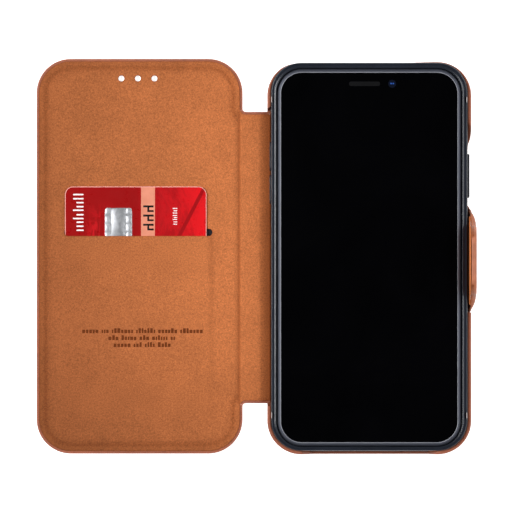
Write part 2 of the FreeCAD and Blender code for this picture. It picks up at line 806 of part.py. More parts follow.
def all_parts():
    """Every node's name with its shape."""
    phone_key_right, phone_key_up, phone_key_down = phone_keys(0)
    return {
        "back_leather": make_back_leather(),
        "back_shell": make_back_shell(),
        "bumper_frame": make_bumper_frame(),
        "back_liner": make_back_liner(),
        "camera_window_trim": make_camera_window_trim(),
        "power_button_cover": button_cover(POWER_Y0, POWER_Y1, BUTTON_INNER_X, POWER_FACE_X),
        "volume_up_cover": button_cover(VOLUME_UP_Y0, VOLUME_UP_Y1, -BUTTON_INNER_X, VOLUME_FACE_X),
        "volume_down_cover": button_cover(
            VOLUME_DOWN_Y0, VOLUME_DOWN_Y1, -BUTTON_INNER_X, VOLUME_FACE_X
        ),
        "spine_leather": make_spine_leather(),
        "spine_stiffener": make_spine_stiffener(),
        "spine_lining": make_spine_lining(),
        "cover_leather": make_cover_leather(),
        "cover_board": make_cover_board(),
        "cover_lining": make_cover_lining(),
        "pocket_backing": make_pocket_backing(),
        "cover_steel_keeper": keeper_block(0),
        "cover_sleep_magnet": sleep_magnet_block(0),
        "tab_side_leather": make_tab_side_leather(),
        "tab_side_lining": make_tab_side_lining(),
        "tab_flap_leather": make_tab_flap_leather(),
        "tab_flap_board": make_tab_flap_board(),
        "tab_flap_lining": make_tab_flap_lining(),
        "tab_magnets": magnet_rods(0),
        "card": make_card(),
        "card_chip": make_card_chip(),
        "phone_body": make_phone_body(),
        "phone_front_glass": make_phone_front_glass(),
        "phone_back_glass": back_glass_block(0),
        "phone_earpiece_grille": earpiece_block(0),
        "phone_front_camera": front_camera_rod(0),
        "phone_camera_block": make_phone_camera_block(),
        "phone_camera_lenses": Part.makeCompound(lens_rods(0)),
        "phone_flash": flash_rod(0),
        "phone_side_key": phone_key_right,
        "phone_volume_keys": Part.makeCompound([phone_key_up, phone_key_down]),
    }


os.makedirs("parts", exist_ok=True)
for name, shape in all_parts().items():
    if not shape.isValid() or not shape.Solids:
        raise ValueError(name + " is not a valid solid")
    shape.exportStep("parts/" + name + ".step")
    bounds = shape.BoundBox
    print(
        name,
        len(shape.Solids),
        round(shape.Volume, 1),
        [round(value, 2) for value in (bounds.XMin, bounds.XMax, bounds.YMin, bounds.YMax)],
        [round(value, 2) for value in (bounds.ZMin, bounds.ZMax)],
    )
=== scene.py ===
"""Looks of the phone wallet case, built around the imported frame.

Lengths are in millimetres until a mesh is made.
"""

import json
import math
import random

import bmesh
import bpy
import numpy as np
from mathutils import Matrix, Vector
from mathutils.geometry import delaunay_2d_cdt


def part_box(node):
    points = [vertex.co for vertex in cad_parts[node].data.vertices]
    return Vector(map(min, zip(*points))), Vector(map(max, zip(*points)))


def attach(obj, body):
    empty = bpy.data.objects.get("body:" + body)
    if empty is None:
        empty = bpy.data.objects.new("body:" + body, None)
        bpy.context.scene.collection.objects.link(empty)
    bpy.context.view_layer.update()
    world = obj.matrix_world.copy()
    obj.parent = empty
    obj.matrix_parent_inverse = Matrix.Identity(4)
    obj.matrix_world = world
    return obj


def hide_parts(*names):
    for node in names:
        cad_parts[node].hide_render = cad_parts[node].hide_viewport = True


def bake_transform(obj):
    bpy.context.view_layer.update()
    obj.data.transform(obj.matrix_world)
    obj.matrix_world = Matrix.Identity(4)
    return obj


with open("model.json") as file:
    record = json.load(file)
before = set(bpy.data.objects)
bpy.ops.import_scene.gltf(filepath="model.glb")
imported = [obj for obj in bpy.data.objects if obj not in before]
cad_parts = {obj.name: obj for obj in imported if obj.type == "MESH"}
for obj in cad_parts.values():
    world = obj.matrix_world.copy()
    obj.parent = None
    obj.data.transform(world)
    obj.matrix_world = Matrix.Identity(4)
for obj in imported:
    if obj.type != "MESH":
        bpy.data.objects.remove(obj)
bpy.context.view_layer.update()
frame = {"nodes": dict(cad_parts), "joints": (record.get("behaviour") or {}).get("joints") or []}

MM = 0.001
SHARP_DEGREES = 38


# ---- Places, all taken from the frame -----------------------------------------------------


def box_mm(node):
    """Lowest and highest corner of a CAD node, in millimetres."""
    low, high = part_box(node)
    return low / MM, high / MM


def joint_mm(name):
    """A joint's position and axis, in millimetres."""
    joint = next(j for j in frame["joints"] if j["name"] == name)
    return Vector(joint.get("pos_m", (0, 0, 0))) / MM, Vector(joint["axis"])


cover_low, cover_high = box_mm("cover_leather")
rim_low, rim_high = box_mm("bumper_frame")
card_low, card_high = box_mm("card")
chip_low, chip_high = box_mm("card_chip")
glass_low, glass_high = box_mm("phone_front_glass")
tab_side_low, tab_side_high = box_mm("tab_side_leather")
tab_flap_low, tab_flap_high = box_mm("tab_flap_leather")
tab_lining_low, tab_lining_high = box_mm("tab_side_lining")
board_high = box_mm("cover_board")[1]
spine_high = box_mm("spine_leather")[1]
spine_lining_high = box_mm("spine_lining")[1]
case_high = box_mm("back_leather")[1]
hinge_a, _ = joint_mm("spine_fold")
hinge_b, _ = joint_mm("cover_fold")
hinge_c, _ = joint_mm("tab_fold")
hinge_d, _ = joint_mm("flap_fold")
_, card_axis = joint_mm("card_slide")

COVER_CORNER_R = 13.0
COVER_HEAD = 0.7
COVER_FOOT = 0.3
NOTCH_R = 1.2
SPINE_SEAM_X = (hinge_a.x + hinge_b.x) / 2
SPINE_HALF_H = spine_high.y
LINING_INSET = 1.0
LINING_T = 0.4
LINING_TOP = board_high.z + 0.45
SPINE_TOP = spine_lining_high.z
CREASE_X = hinge_b.x + 1.0
CREASE_DEPTH = 0.32
CREASE_W = 0.45
GROOVE_AT = 2.3
GROOVE_W = 0.55
GROOVE_DEPTH = 0.11
TURN_IN_LIFT = 0.1
POCKET_SLACK = 0.05
SLIT_Y0, SLIT_Y1 = 8.2, 10.9
SLIT_X0, SLIT_X1 = -116.05, -59.7
PUNCH_R = 1.1
PUNCH_PITCH = 6.3
PUNCH_X = -88.1
PUNCH_Y = 68.2


# ---- Mesh helpers -------------------------------------------------------------------------


def make_mesh(name, points, faces, material):
    """A mesh object from points in millimetres."""
    mesh = bpy.data.meshes.new(name)
    mesh.from_pydata([Vector(p) * MM for p in points], [], faces)
    mesh.validate()
    mesh.materials.append(material)
    mesh.shade_smooth()
    mesh.set_sharp_from_angle(angle=math.radians(SHARP_DEGREES))
    piece = bpy.data.objects.new(name, mesh)
    bpy.context.scene.collection.objects.link(piece)
    return piece


def arc(cx, cy, radius, start, end, steps):
    """Points along an arc, angles in degrees."""
    points = []
    for index in range(steps + 1):
        angle = math.radians(start + (end - start) * index / steps)
        points.append((cx + radius * math.cos(angle), cy + radius * math.sin(angle)))
    return points


def rounded_rect(x0, x1, y0, y1, radius, steps=10):
    """A closed outline with round corners, anticlockwise."""
    loop = arc(x1 - radius, y1 - radius, radius, 0, 90, steps)
    loop += arc(x0 + radius, y1 - radius, radius, 90, 180, steps)
    loop += arc(x0 + radius, y0 + radius, radius, 180, 270, steps)
    loop += arc(x1 - radius, y0 + radius, radius, 270, 360, steps)
    return loop


def inset_rect(low, high, inset, radius, steps):
    """A box's outline seen from above, set in by a distance, with round corners."""
    return rounded_rect(low.x + inset, high.x - inset, low.y + inset, high.y - inset, radius - inset, steps)


def densify(loop, longest):
    """The same closed outline with no segment longer than a given length."""
    result = []
    for index, (x0, y0) in enumerate(loop):
        x1, y1 = loop[(index + 1) % len(loop)]
        count = max(1, math.ceil(math.hypot(x1 - x0, y1 - y0) / longest))
        for step in range(count):
            result.append((x0 + (x1 - x0) * step / count, y0 + (y1 - y0) * step / count))
    return result


def band(first, second, count, closed=True):
    """Faces between two rows of points, each row given by its first index."""
    faces = []
    for index in range(count if closed else count - 1):
        following = (index + 1) % count
        faces.append((first + index, first + following, second + following, second + index))
    return faces


def loft(name, loops, material):
    """A closed body through loops of equally many points, capped at both ends."""
    count = len(loops[0])
    points = [p for loop in loops for p in loop]
    faces = [tuple(range(count))[::-1]]
    for level in range(len(loops) - 1):
        faces += band(level * count, (level + 1) * count, count)
    faces.append(tuple(range((len(loops) - 1) * count, len(loops) * count)))
    return make_mesh(name, points, faces, material)


def inside(points, loop):
    """Which of the points lie inside a closed outline."""
    xs, ys = points[:, 0], points[:, 1]
    result = np.zeros(len(points), bool)
    for index, (x0, y0) in enumerate(loop):
        x1, y1 = loop[(index + 1) % len(loop)]
        if y0 == y1:
            continue
        crosses = (ys < y0) != (ys < y1)
        result ^= crosses & (xs < x0 + (ys - y0) * (x1 - x0) / (y1 - y0))
    return result


def distance_to(points, chain, closed):
    """Distance of each point from a line of points."""
    best = np.full(len(points), np.inf)
    ends = list(zip(chain, chain[1:]))
    if closed:
        ends.append((chain[-1], chain[0]))
    for (x0, y0), (x1, y1) in ends:
        dx, dy = x1 - x0, y1 - y0
        length = dx * dx + dy * dy
        if length == 0:
            continue
        along = np.clip(((points[:, 0] - x0) * dx + (points[:, 1] - y0) * dy) / length, 0, 1)
        gap = np.hypot(points[:, 0] - x0 - along * dx, points[:, 1] - y0 - along * dy)
        best = np.minimum(best, gap)
    return best


def bell(value, middle, width):
    """1 at the middle, falling off smoothly to both sides."""
    return np.exp(-(((value - middle) / width) ** 2))


def smooth(value, low, high):
    """0 below low, 1 above high, and a smooth step between."""
    t = np.clip((np.asarray(value, float) - low) / (high - low), 0, 1)
    return t * t * (3 - 2 * t)


RING_SHARES = (0.12, 0.3, 0.6, 1.0, 1.7)


def staggered_grid(x0, x1, y0, y1, step):
    """Points on a grid whose every other row is shifted by half a step."""
    gx, gy = np.meshgrid(np.arange(x0 + step / 2, x1, step), np.arange(y0 + step / 2, y1, step))
    gx = gx + (np.arange(gx.shape[0]) % 2 * step / 2)[:, None]
    return np.column_stack([gx.ravel(), gy.ravel()])


def grid_inside(edge, hole_loops, spacing, clear, fine):
    """Grid points inside an outline and outside its holes, denser in the fine patches."""
    xs, ys = [x for x, _ in edge], [y for _, y in edge]
    found = []
    for number, patch in enumerate([(min(xs), max(xs), min(ys), max(ys), spacing), *fine]):
        grid = staggered_grid(*patch)
        keep = inside(grid, edge) & (distance_to(grid, edge, True) > clear)
        for loop in hole_loops:
            keep &= ~inside(grid, loop) & (distance_to(grid, loop, True) > clear)
        if number == 0:
            for x0, x1, y0, y1, _ in fine:
                keep &= (grid[:, 0] < x0) | (grid[:, 0] > x1) | (grid[:, 1] < y0) | (grid[:, 1] > y1)
        found += [tuple(p) for p in grid[keep]]
    return found


def flat_cut(outline, holes, spacing, edge_r, fine):
    """The points and triangles of a flat cut, and each point's distance to the nearest real edge."""
    edge = densify(outline(0), spacing)
    loops = [edge] + [densify(hole(0), spacing) for hole in holes]
    coords, constraints = [], []
    for loop in loops:
        first = len(coords)
        coords += loop
        constraints += [(first + i, first + (i + 1) % len(loop)) for i in range(len(loop))]
    rings = [edge_r * share for share in RING_SHARES]
    for inset in rings:
        for line in (outline, *holes):
            coords += densify(line(inset), spacing)
    coords += grid_inside(edge, loops[1:], spacing, rings[-1] + spacing * 0.3, fine)
    flat, _, triangles, _, _, _ = delaunay_2d_cdt([Vector(c) for c in coords], constraints, [], 0, 1e-4)
    plane = np.array([tuple(v) for v in flat])
    centres = plane[np.array(triangles)].mean(axis=1)
    keep = inside(centres, edge)
    for loop in loops[1:]:
        keep &= ~inside(centres, loop)
    triangles = [t for t, good in zip(triangles, keep) if good]
    used = sorted({i for t in triangles for i in t})
    remap = {old: new for new, old in enumerate(used)}
    plane = plane[used]
    triangles = [tuple(remap[i] for i in t) for t in triangles]
    gap = distance_to(plane, outline(0), False)
    for loop in loops[1:]:
        gap = np.minimum(gap, distance_to(plane, loop, True))
    return plane, triangles, gap


def sheet(
    name, outline, holes, spacing, top, thickness, material,
    place=None, edge_r=0.15, fine=(), both=False, values=None,
):
    """A sheet of cloth or leather with rounded edges.

    outline(inset) and each hole(grow) give loops in the sheet's plane; the outline's closing segment is a
    seam, which isn't rounded. top(points) gives the upper face's height and thickness is a number or a
    function of the points. fine lists (x0, x1, y0, y1, spacing) patches. both rounds the lower face as
    well. values names mesh values and the functions of (points, gap) that give them, where gap is the
    distance to the nearest real edge.
    """
    plane, triangles, gap = flat_cut(outline, holes, spacing, edge_r, fine)
    height = top(plane)
    under = height - (thickness(plane) if callable(thickness) else thickness)
    near = np.clip(1 - gap / edge_r, 0, 1)
    round_off = edge_r * (1 - np.sqrt(np.clip(1 - near * near, 0, 1)))
    height = height - round_off
    if both:
        under = under + round_off
    place = place or (lambda u, v, h: (u, v, h))
    points = [place(u, v, h) for (u, v), h in zip(plane, height)]
    points += [place(u, v, h) for (u, v), h in zip(plane, under)]
    count = len(plane)
    faces = list(triangles) + [tuple(i + count for i in t)[::-1] for t in triangles]
    directed = {(a, b) for t in triangles for a, b in zip(t, t[1:] + t[:1])}
    faces += [(b, a, a + count, b + count) for a, b in directed if (b, a) not in directed]
    piece = make_mesh(name, points, faces, material)
    for value_name, value_of in (values or {}).items():
        both_faces = np.tile(value_of(plane, gap), 2).astype(np.float32)
        piece.data.attributes.new(value_name, "FLOAT", "POINT").data.foreach_set("value", both_faces)
    return piece


def matched(loops, longest):
    """Loops of equally many points, split alike so that the first has no segment past a given length."""
    counts = []
    for index, (x0, y0) in enumerate(loops[0][:-1]):
        x1, y1 = loops[0][index + 1]
        counts.append(max(1, math.ceil(math.hypot(x1 - x0, y1 - y0) / longest)))
    result = []
    for loop in loops:
        chain = []
        for index, count in enumerate(counts):
            (x0, y0), (x1, y1) = loop[index], loop[index + 1]
            for step in range(count):
                chain.append((x0 + (x1 - x0) * step / count, y0 + (y1 - y0) * step / count))
        result.append(chain + [loop[-1]])
    return result


def open_loft(name, chains, material):
    """A closed body through open chains that end on a seam plane, from its bottom to its inner floor."""
    count = len(chains[0])
    points = [p for chain in chains for p in chain]
    last = len(chains) - 1
    faces = [tuple(range(count))[::-1], tuple(range(last * count, (last + 1) * count))]
    for level in range(last):
        faces += band(level * count, (level + 1) * count, count, closed=False)
    starts = [level * count for level in range(last + 1)]
    ends = [level * count + count - 1 for level in range(last + 1)]
    faces.append(tuple(starts) + tuple(ends[::-1]))
    return make_mesh(name, points, faces, material)


def ring_loft(name, loops, material):
    """A ring-shaped body: closed loops whose last joins the first."""
    count, levels = len(loops[0]), len(loops)
    points = [p for loop in loops for p in loop]
    faces = []
    for level in range(levels):
        faces += band(level * count, (level + 1) % levels * count, count)
    return make_mesh(name, points, faces, material)


def prism(loop, low, high, axis):
    """A straight solid: a loop in the plane across an axis, between two places along it."""

    def turn(u, v, w):
        return {"X": (w, u, v), "Y": (v, w, u), "Z": (u, v, w)}[axis]

    return [turn(u, v, low) for u, v in loop], [turn(u, v, high) for u, v in loop]


def solid_of(name, prisms, material):
    """Several straight solids in one mesh."""
    points, faces = [], []
    for low_loop, high_loop in prisms:
        first, count = len(points), len(low_loop)
        points += low_loop + high_loop
        faces.append(tuple(range(first, first + count))[::-1])
        faces.append(tuple(range(first + count, first + 2 * count)))
        faces += band(first, first + count, count)
    return make_mesh(name, points, faces, material)


def carve(piece, prisms):
    """Cut straight solids out of a mesh."""
    cutter = solid_of("cutting_tool", prisms, piece.data.materials[0])
    modifier = piece.modifiers.new("carve", "BOOLEAN")
    modifier.operation = "DIFFERENCE"
    modifier.solver = "EXACT"
    modifier.object = cutter
    bpy.context.view_layer.update()
    cut = bpy.data.meshes.new_from_object(piece.evaluated_get(bpy.context.evaluated_depsgraph_get()))
    piece.modifiers.clear()
    piece.data = cut
    cut.set_sharp_from_angle(angle=math.radians(SHARP_DEGREES))
    bpy.data.objects.remove(cutter)


def slice_across(piece, low, high, step):
    """Split a mesh's faces across X between two places."""
    work = bmesh.new()
    work.from_mesh(piece.data)
    for x in np.arange(low, high, step):
        everything = work.verts[:] + work.edges[:] + work.faces[:]
        place = (x * MM, 0, 0)
        bmesh.ops.bisect_plane(work, geom=everything, dist=1e-7, plane_co=place, plane_no=(1, 0, 0))
    work.to_mesh(piece.data)
    work.free()


def pads(name, outlines, top, thick, material):
    """Many thin pads in one mesh; top(x, y) gives the height that each rests on."""
    points, faces = [], []
    sunk, shoulder = 0.06, 0.6
    for low_loop, high_loop in outlines:
        first, count = len(points), len(low_loop)
        points += [(x, y, top(x, y) - sunk) for x, y in low_loop]
        points += [(x, y, top(x, y) + thick * shoulder) for x, y in low_loop]
        points += [(x, y, top(x, y) + thick) for x, y in high_loop]
        faces.append(tuple(range(first, first + count))[::-1])
        for level in range(2):
            low = first + level * count
            faces += band(low, low + count, count)
        faces.append(tuple(range(first + 2 * count, first + 3 * count)))
    return make_mesh(name, points, faces, material)


def pad_outline(x0, x1, y0, y1, radius, shrink=0.05):
    """A pad's lower and upper outline."""
    inner = max(radius - shrink, 0.01)
    low = rounded_rect(x0, x1, y0, y1, radius, 4)
    return low, rounded_rect(x0 + shrink, x1 - shrink, y0 + shrink, y1 - shrink, inner, 4)


# ---- Material helpers ---------------------------------------------------------------------


def srgb(red, green, blue):
    """A linear colour from 0-255 display values."""
    linear = []
    for value in (red, green, blue):
        share = value / 255
        linear.append(share / 12.92 if share <= 0.04045 else ((share + 0.055) / 1.055) ** 2.4)
    return (*linear, 1.0)


def scaled(colour, share):
    """A colour made darker or lighter."""
    return (colour[0] * share, colour[1] * share, colour[2] * share, 1.0)


WHITE = (1.0, 1.0, 1.0, 1.0)
BLACK = (0.0, 0.0, 0.0, 1.0)


class Look:
    """A node material under construction."""

    def __init__(self, name, roughness=0.5, metallic=0.0, specular=0.5):
        self.material = bpy.data.materials.new(name)
        self.material.use_nodes = True
        self.nodes = self.material.node_tree.nodes
        self.links = self.material.node_tree.links
        self.shader = self.nodes["Principled BSDF"]
        self.shader.inputs["Roughness"].default_value = roughness
        self.shader.inputs["Metallic"].default_value = metallic
        self.shader.inputs["Specular IOR Level"].default_value = specular
        self.coords = self.nodes.new("ShaderNodeTexCoord").outputs["Object"]

    def noise(self, scale, detail=3.0, rough=0.55, distortion=0.0, stretch=None):
        """A noise value, with scale in features per metre."""
        node = self.nodes.new("ShaderNodeTexNoise")
        node.inputs["Scale"].default_value = scale
        node.inputs["Detail"].default_value = detail
        node.inputs["Roughness"].default_value = rough
        node.inputs["Distortion"].default_value = distortion
        source = self.coords
        if stretch:
            mapping = self.nodes.new("ShaderNodeMapping")
            mapping.inputs["Scale"].default_value = stretch
            self.links.new(source, mapping.inputs["Vector"])
            source = mapping.outputs["Vector"]
        self.links.new(source, node.inputs["Vector"])
        return node.outputs["Fac"]

    def cells(self, scale, feature="DISTANCE_TO_EDGE"):
        """A cell pattern's distance."""
        node = self.nodes.new("ShaderNodeTexVoronoi")
        node.feature = feature
        node.inputs["Scale"].default_value = scale
        self.links.new(self.coords, node.inputs["Vector"])
        return node.outputs["Distance"]

    def ramp(self, value, stops):
        """A colour that follows a value."""
        node = self.nodes.new("ShaderNodeValToRGB")
        node.color_ramp.elements[0].position = stops[0][0]
        node.color_ramp.elements[0].color = stops[0][1]
        node.color_ramp.elements[1].position = stops[-1][0]
        node.color_ramp.elements[1].color = stops[-1][1]
        for position, colour in stops[1:-1]:
            node.color_ramp.elements.new(position).color = colour
        self.links.new(value, node.inputs["Fac"])
        return node.outputs["Color"]

    def shades(self, value, base, *stops):
        """A base colour times a different share at each stop of a value."""
        return self.ramp(value, [(position, scaled(base, share)) for position, share in stops])

    def span(self, value, low, high, from_low=0.0, from_high=1.0):
        """A value moved to another range."""
        node = self.nodes.new("ShaderNodeMapRange")
        node.inputs["From Min"].default_value = from_low
        node.inputs["From Max"].default_value = from_high
        node.inputs["To Min"].default_value = low
        node.inputs["To Max"].default_value = high
        self.links.new(value, node.inputs["Value"])
        return node.outputs["Result"]

    def math(self, operation, first, second):
        """Two values combined; either may be a number."""
        node = self.nodes.new("ShaderNodeMath")
        node.operation = operation
        for index, value in enumerate((first, second)):
            if isinstance(value, (int, float)):
                node.inputs[index].default_value = value
            else:
                self.links.new(value, node.inputs[index])
        return node.outputs["Value"]

    def mix(self, share, first, second, blend="MIX"):
        """Two colours mixed; share and either colour may be a plain value."""
        node = self.nodes.new("ShaderNodeMix")
        node.data_type = "RGBA"
        node.blend_type = blend
        for socket, value in ((node.inputs[0], share), (node.inputs[6], first), (node.inputs[7], second)):
            if isinstance(value, (int, float, tuple)):
                socket.default_value = value
            else:
                self.links.new(value, socket)
        return node.outputs[2]

    def axis(self, name):
        """One of the position's coordinates, in metres."""
        node = self.nodes.new("ShaderNodeSeparateXYZ")
        self.links.new(self.coords, node.inputs["Vector"])
        return node.outputs[name]

    def attribute(self, name):
        """A value stored on the mesh; 0 where there is none."""
        node = self.nodes.new("ShaderNodeAttribute")
        node.attribute_name = name
        return node.outputs["Fac"]

    def colour(self, value):
        """Set or link the base colour."""
        if isinstance(value, tuple):
            self.shader.inputs["Base Color"].default_value = value
        else:
            self.links.new(value, self.shader.inputs["Base Color"])
        return self

    def rough(self, value):
        """Link the roughness."""
        self.links.new(value, self.shader.inputs["Roughness"])
        return self

    def bump(self, value, distance_mm, strength=1.0):
        """Add a bump on top of any that is there."""
        node = self.nodes.new("ShaderNodeBump")
        node.inputs["Strength"].default_value = strength
        node.inputs["Distance"].default_value = distance_mm * MM
        self.links.new(value, node.inputs["Height"])
        normal = self.shader.inputs["Normal"]
        if normal.is_linked:
            self.links.new(normal.links[0].from_socket, node.inputs["Normal"])
        self.links.new(node.outputs["Normal"], normal)
        return self


# ---- Materials ----------------------------------------------------------------------------

LINING_COLOUR = srgb(193, 113, 66)
LEATHER_COLOUR = srgb(158, 88, 60)
EDGE_COLOUR = srgb(186, 124, 104)
RUBBER_COLOUR = srgb(27, 31, 40)
# Darkening tint for the suede, used for burnish and for painted shade.
BURNISH_AND_SHADE_TINT = (0.46, 0.36, 0.26, 1.0)
CARD_DARK = srgb(144, 11, 13)
CARD_STRIPE = (-86.9, -81.6)
SLASH_SLOPE = 0.52
SLASH_AT = 76.6
SLASH_W = 1.3
CHIP_HALF_W = 5.2
GLINT_DX, GLINT_DY, GLINT_REACH = 0.42, 0.1, 0.62


def suede_look(name, base):
    """Short-napped suede: fibre speckle, mottling and a little sheen, darker where it is burnished and where
    shade is painted on.
    """
    look = Look(name, roughness=0.95, specular=0.12)
    fibre = look.noise(3000, 2.0, 0.6)
    tuft = look.noise(1500, 3.0, 0.7)
    mottle = look.noise(70, 4.0, 0.6, 0.4)
    speckle = look.shades(tuft, base, (0.3, 0.74), (0.5, 1.0), (0.7, 1.22))
    patches = look.shades(mottle, WHITE, (0.3, 0.9), (0.7, 1.06))
    fine = look.shades(fibre, WHITE, (0.3, 0.84), (0.7, 1.14))
    tone = look.mix(1.0, speckle, patches, "MULTIPLY")
    tone = look.mix(1.0, tone, fine, "MULTIPLY")
    # The 'wear' mesh value darkens the suede, partly for burnish and partly as painted shade.
    burnished_and_shaded = look.mix(1.0, tone, BURNISH_AND_SHADE_TINT, "MULTIPLY")
    worn = look.mix(look.attribute("wear"), tone, burnished_and_shaded)
    # The 'nap' mesh value is painted shade: it mixes the colour towards black where light falls off.
    look.colour(look.mix(look.attribute("nap"), worn, BLACK))
    look.shader.inputs["Sheen Weight"].default_value = 0.2
    look.shader.inputs["Sheen Roughness"].default_value = 0.5
    look.shader.inputs["Sheen Tint"].default_value = scaled(base, 1.6)
    look.bump(mottle, 0.08, 0.5)
    look.bump(tuft, 0.08, 0.6)
    look.bump(fibre, 0.05, 0.6)
    return look.material


def leather_look(name, base):
    """Fine-grained leather with pores, colour drift and satin wear."""
    look = Look(name, roughness=0.5, specular=0.4)
    grain = look.cells(1100)
    pores = look.cells(2600, "F1")
    drift = look.noise(45, 4.0, 0.6, 0.6)
    crease = look.noise(260, 4.0, 0.6, 1.2)
    tone = look.shades(drift, base, (0.3, 0.82), (0.55, 1.0), (0.8, 1.14))
    valleys = look.shades(grain, WHITE, (0.0, 0.72), (0.12, 1.0), (1.0, 1.0))
    look.colour(look.mix(1.0, tone, valleys, "MULTIPLY"))
    look.rough(look.span(crease, 0.38, 0.6, 0.3, 0.7))
    look.bump(crease, 0.10, 0.35)
    look.bump(look.span(grain, 0, 1, 0, 0.25), 0.06, 0.6)
    look.bump(pores, 0.03, 0.35)
    return look.material


def edge_paint_look(name, base):
    """Painted cut edge of leather: satin, slightly uneven."""
    look = Look(name, roughness=0.45)
    drift = look.noise(300, 3.0)
    look.colour(look.shades(drift, base, (0.3, 0.8), (0.7, 1.12)))
    look.rough(look.span(look.noise(900), 0.35, 0.6))
    look.bump(look.noise(1400), 0.04, 0.5)
    return look.material


def rubber_look(name, base):
    """Soft moulded elastomer with a very fine spark texture."""
    look = Look(name, roughness=0.22, specular=0.35)
    drift = look.noise(120, 3.0)
    look.colour(look.shades(drift, base, (0.3, 0.85), (0.7, 1.1)))
    look.rough(look.span(look.noise(500, 4.0), 0.19, 0.26, 0.3, 0.7))
    look.bump(look.noise(5200, 2.0), 0.004, 0.5)
    return look.material


def hard_plastic_look(name, base, roughness, specular=0.5):
    """Moulded hard plastic."""
    look = Look(name, roughness=roughness, specular=specular)
    look.colour(look.shades(look.noise(160, 3.0), base, (0.3, 0.88), (0.7, 1.12)))
    look.rough(look.span(look.noise(700, 3.0), roughness * 0.85, roughness * 1.2))
    look.bump(look.noise(3600, 2.0), 0.015, 0.4)
    return look.material


def metal_look(name, base, roughness, stretch=(1, 1, 1), metallic=1.0):
    """Brushed or bead-blasted metal."""
    look = Look(name, roughness=roughness, metallic=metallic)
    brush = look.noise(2400, 3.0, 0.6, 0.0, stretch)
    look.colour(look.shades(brush, base, (0.3, 0.86), (0.7, 1.1)))
    look.rough(look.span(brush, roughness * 0.8, roughness * 1.3, 0.3, 0.7))
    look.bump(brush, 0.008, 0.4)
    return look.material


def chip_look(name, base):
    """Satin contact metal with a painted highlight that makes it brighter at its sides, and a worn mottled
    middle.
    """
    look = Look(name, roughness=0.38, metallic=0.55)
    middle = (chip_low.x + chip_high.x) / 2 * MM
    from_middle = look.math("ABSOLUTE", look.math("SUBTRACT", look.axis("X"), middle), 0.0)
    across = look.span(from_middle, 0, 1, 0.0, CHIP_HALF_W * MM)
    # Painted highlight: the chip's colour is lighter towards both sides.
    painted_side_highlight = look.shades(across, base, (0.0, 0.78), (0.5, 0.66), (0.72, 1.12), (1.0, 0.8))
    worn = look.shades(look.noise(420, 4.0, 0.7, 1.0), WHITE, (0.35, 0.72), (0.65, 1.05))
    look.colour(look.mix(1.0, painted_side_highlight, worn, "MULTIPLY"))
    look.rough(look.span(look.noise(900, 3.0), 0.3, 0.5))
    look.bump(look.noise(1500, 2.0), 0.01, 0.3)
    return look.material


def dark_glass_look(name, base):
    """Black-backed glass with a faint oily variation in its gloss."""
    look = Look(name, roughness=0.05, specular=0.22)
    smear = look.noise(28, 3.0, 0.5, 0.8)
    look.colour(look.shades(smear, base, (0.3, 0.8), (0.7, 1.3)))
    look.rough(look.span(smear, 0.03, 0.085, 0.3, 0.7))
    return look.material


def lens_look(name, base):
    """Coated lens glass: dark, with coloured bloom in patches."""
    look = Look(name, roughness=0.04, specular=0.6)
    bloom = look.noise(420, 2.0, 0.5, 0.5)
    look.colour(look.shades(bloom, base, (0.35, 0.5), (0.65, 1.8)))
    look.shader.inputs["Coat Weight"].default_value = 0.6
    look.rough(look.span(bloom, 0.03, 0.08))
    return look.material


def front_lens_look(name):
    """Small black lens under glass with two blue glints painted into its colour in its middle."""
    look = Look(name, roughness=0.06, specular=0.25)
    low, high = box_mm("phone_front_camera")
    centre = (low + high) / 2
    dx = look.math("ABSOLUTE", look.math("SUBTRACT", look.axis("X"), centre.x * MM), 0.0)
    dx = look.math("SUBTRACT", dx, GLINT_DX * MM)
    dy = look.math("SUBTRACT", look.axis("Y"), (centre.y + GLINT_DY) * MM)
    squares = look.math("ADD", look.math("MULTIPLY", dx, dx), look.math("MULTIPLY", dy, dy))
    far = look.span(look.math("SQRT", squares, 0.0), 0, 1, 0.0, GLINT_REACH * MM)
    # Painted glints: blue close to two points, dark further out.
    blues = [(0.25, srgb(52, 92, 176)), (0.6, srgb(12, 20, 46)), (1.0, srgb(14, 18, 30))]
    look.colour(look.ramp(far, blues))
    look.rough(look.span(look.noise(900, 2.0), 0.04, 0.1))
    return look.material


def board_look(name):
    """Grey paperboard with fibres."""
    look = Look(name, roughness=0.9, specular=0.2)
    fibre = look.noise(1500, 4.0, 0.7, 0.5, (1, 0.35, 1))
    look.colour(look.ramp(fibre, [(0.3, srgb(120, 102, 84)), (0.7, srgb(168, 150, 128))]))
    look.bump(fibre, 0.04, 0.5)
    return look.material


def cloth_look(name, base):
    """Dark brushed microfibre."""
    look = Look(name, roughness=0.95, specular=0.15)
    nap = look.noise(1800, 3.0, 0.6, 0.0, (1, 0.4, 1))
    look.colour(look.shades(nap, base, (0.3, 0.7), (0.7, 1.4)))
    look.bump(nap, 0.05, 0.6)
    return look.material


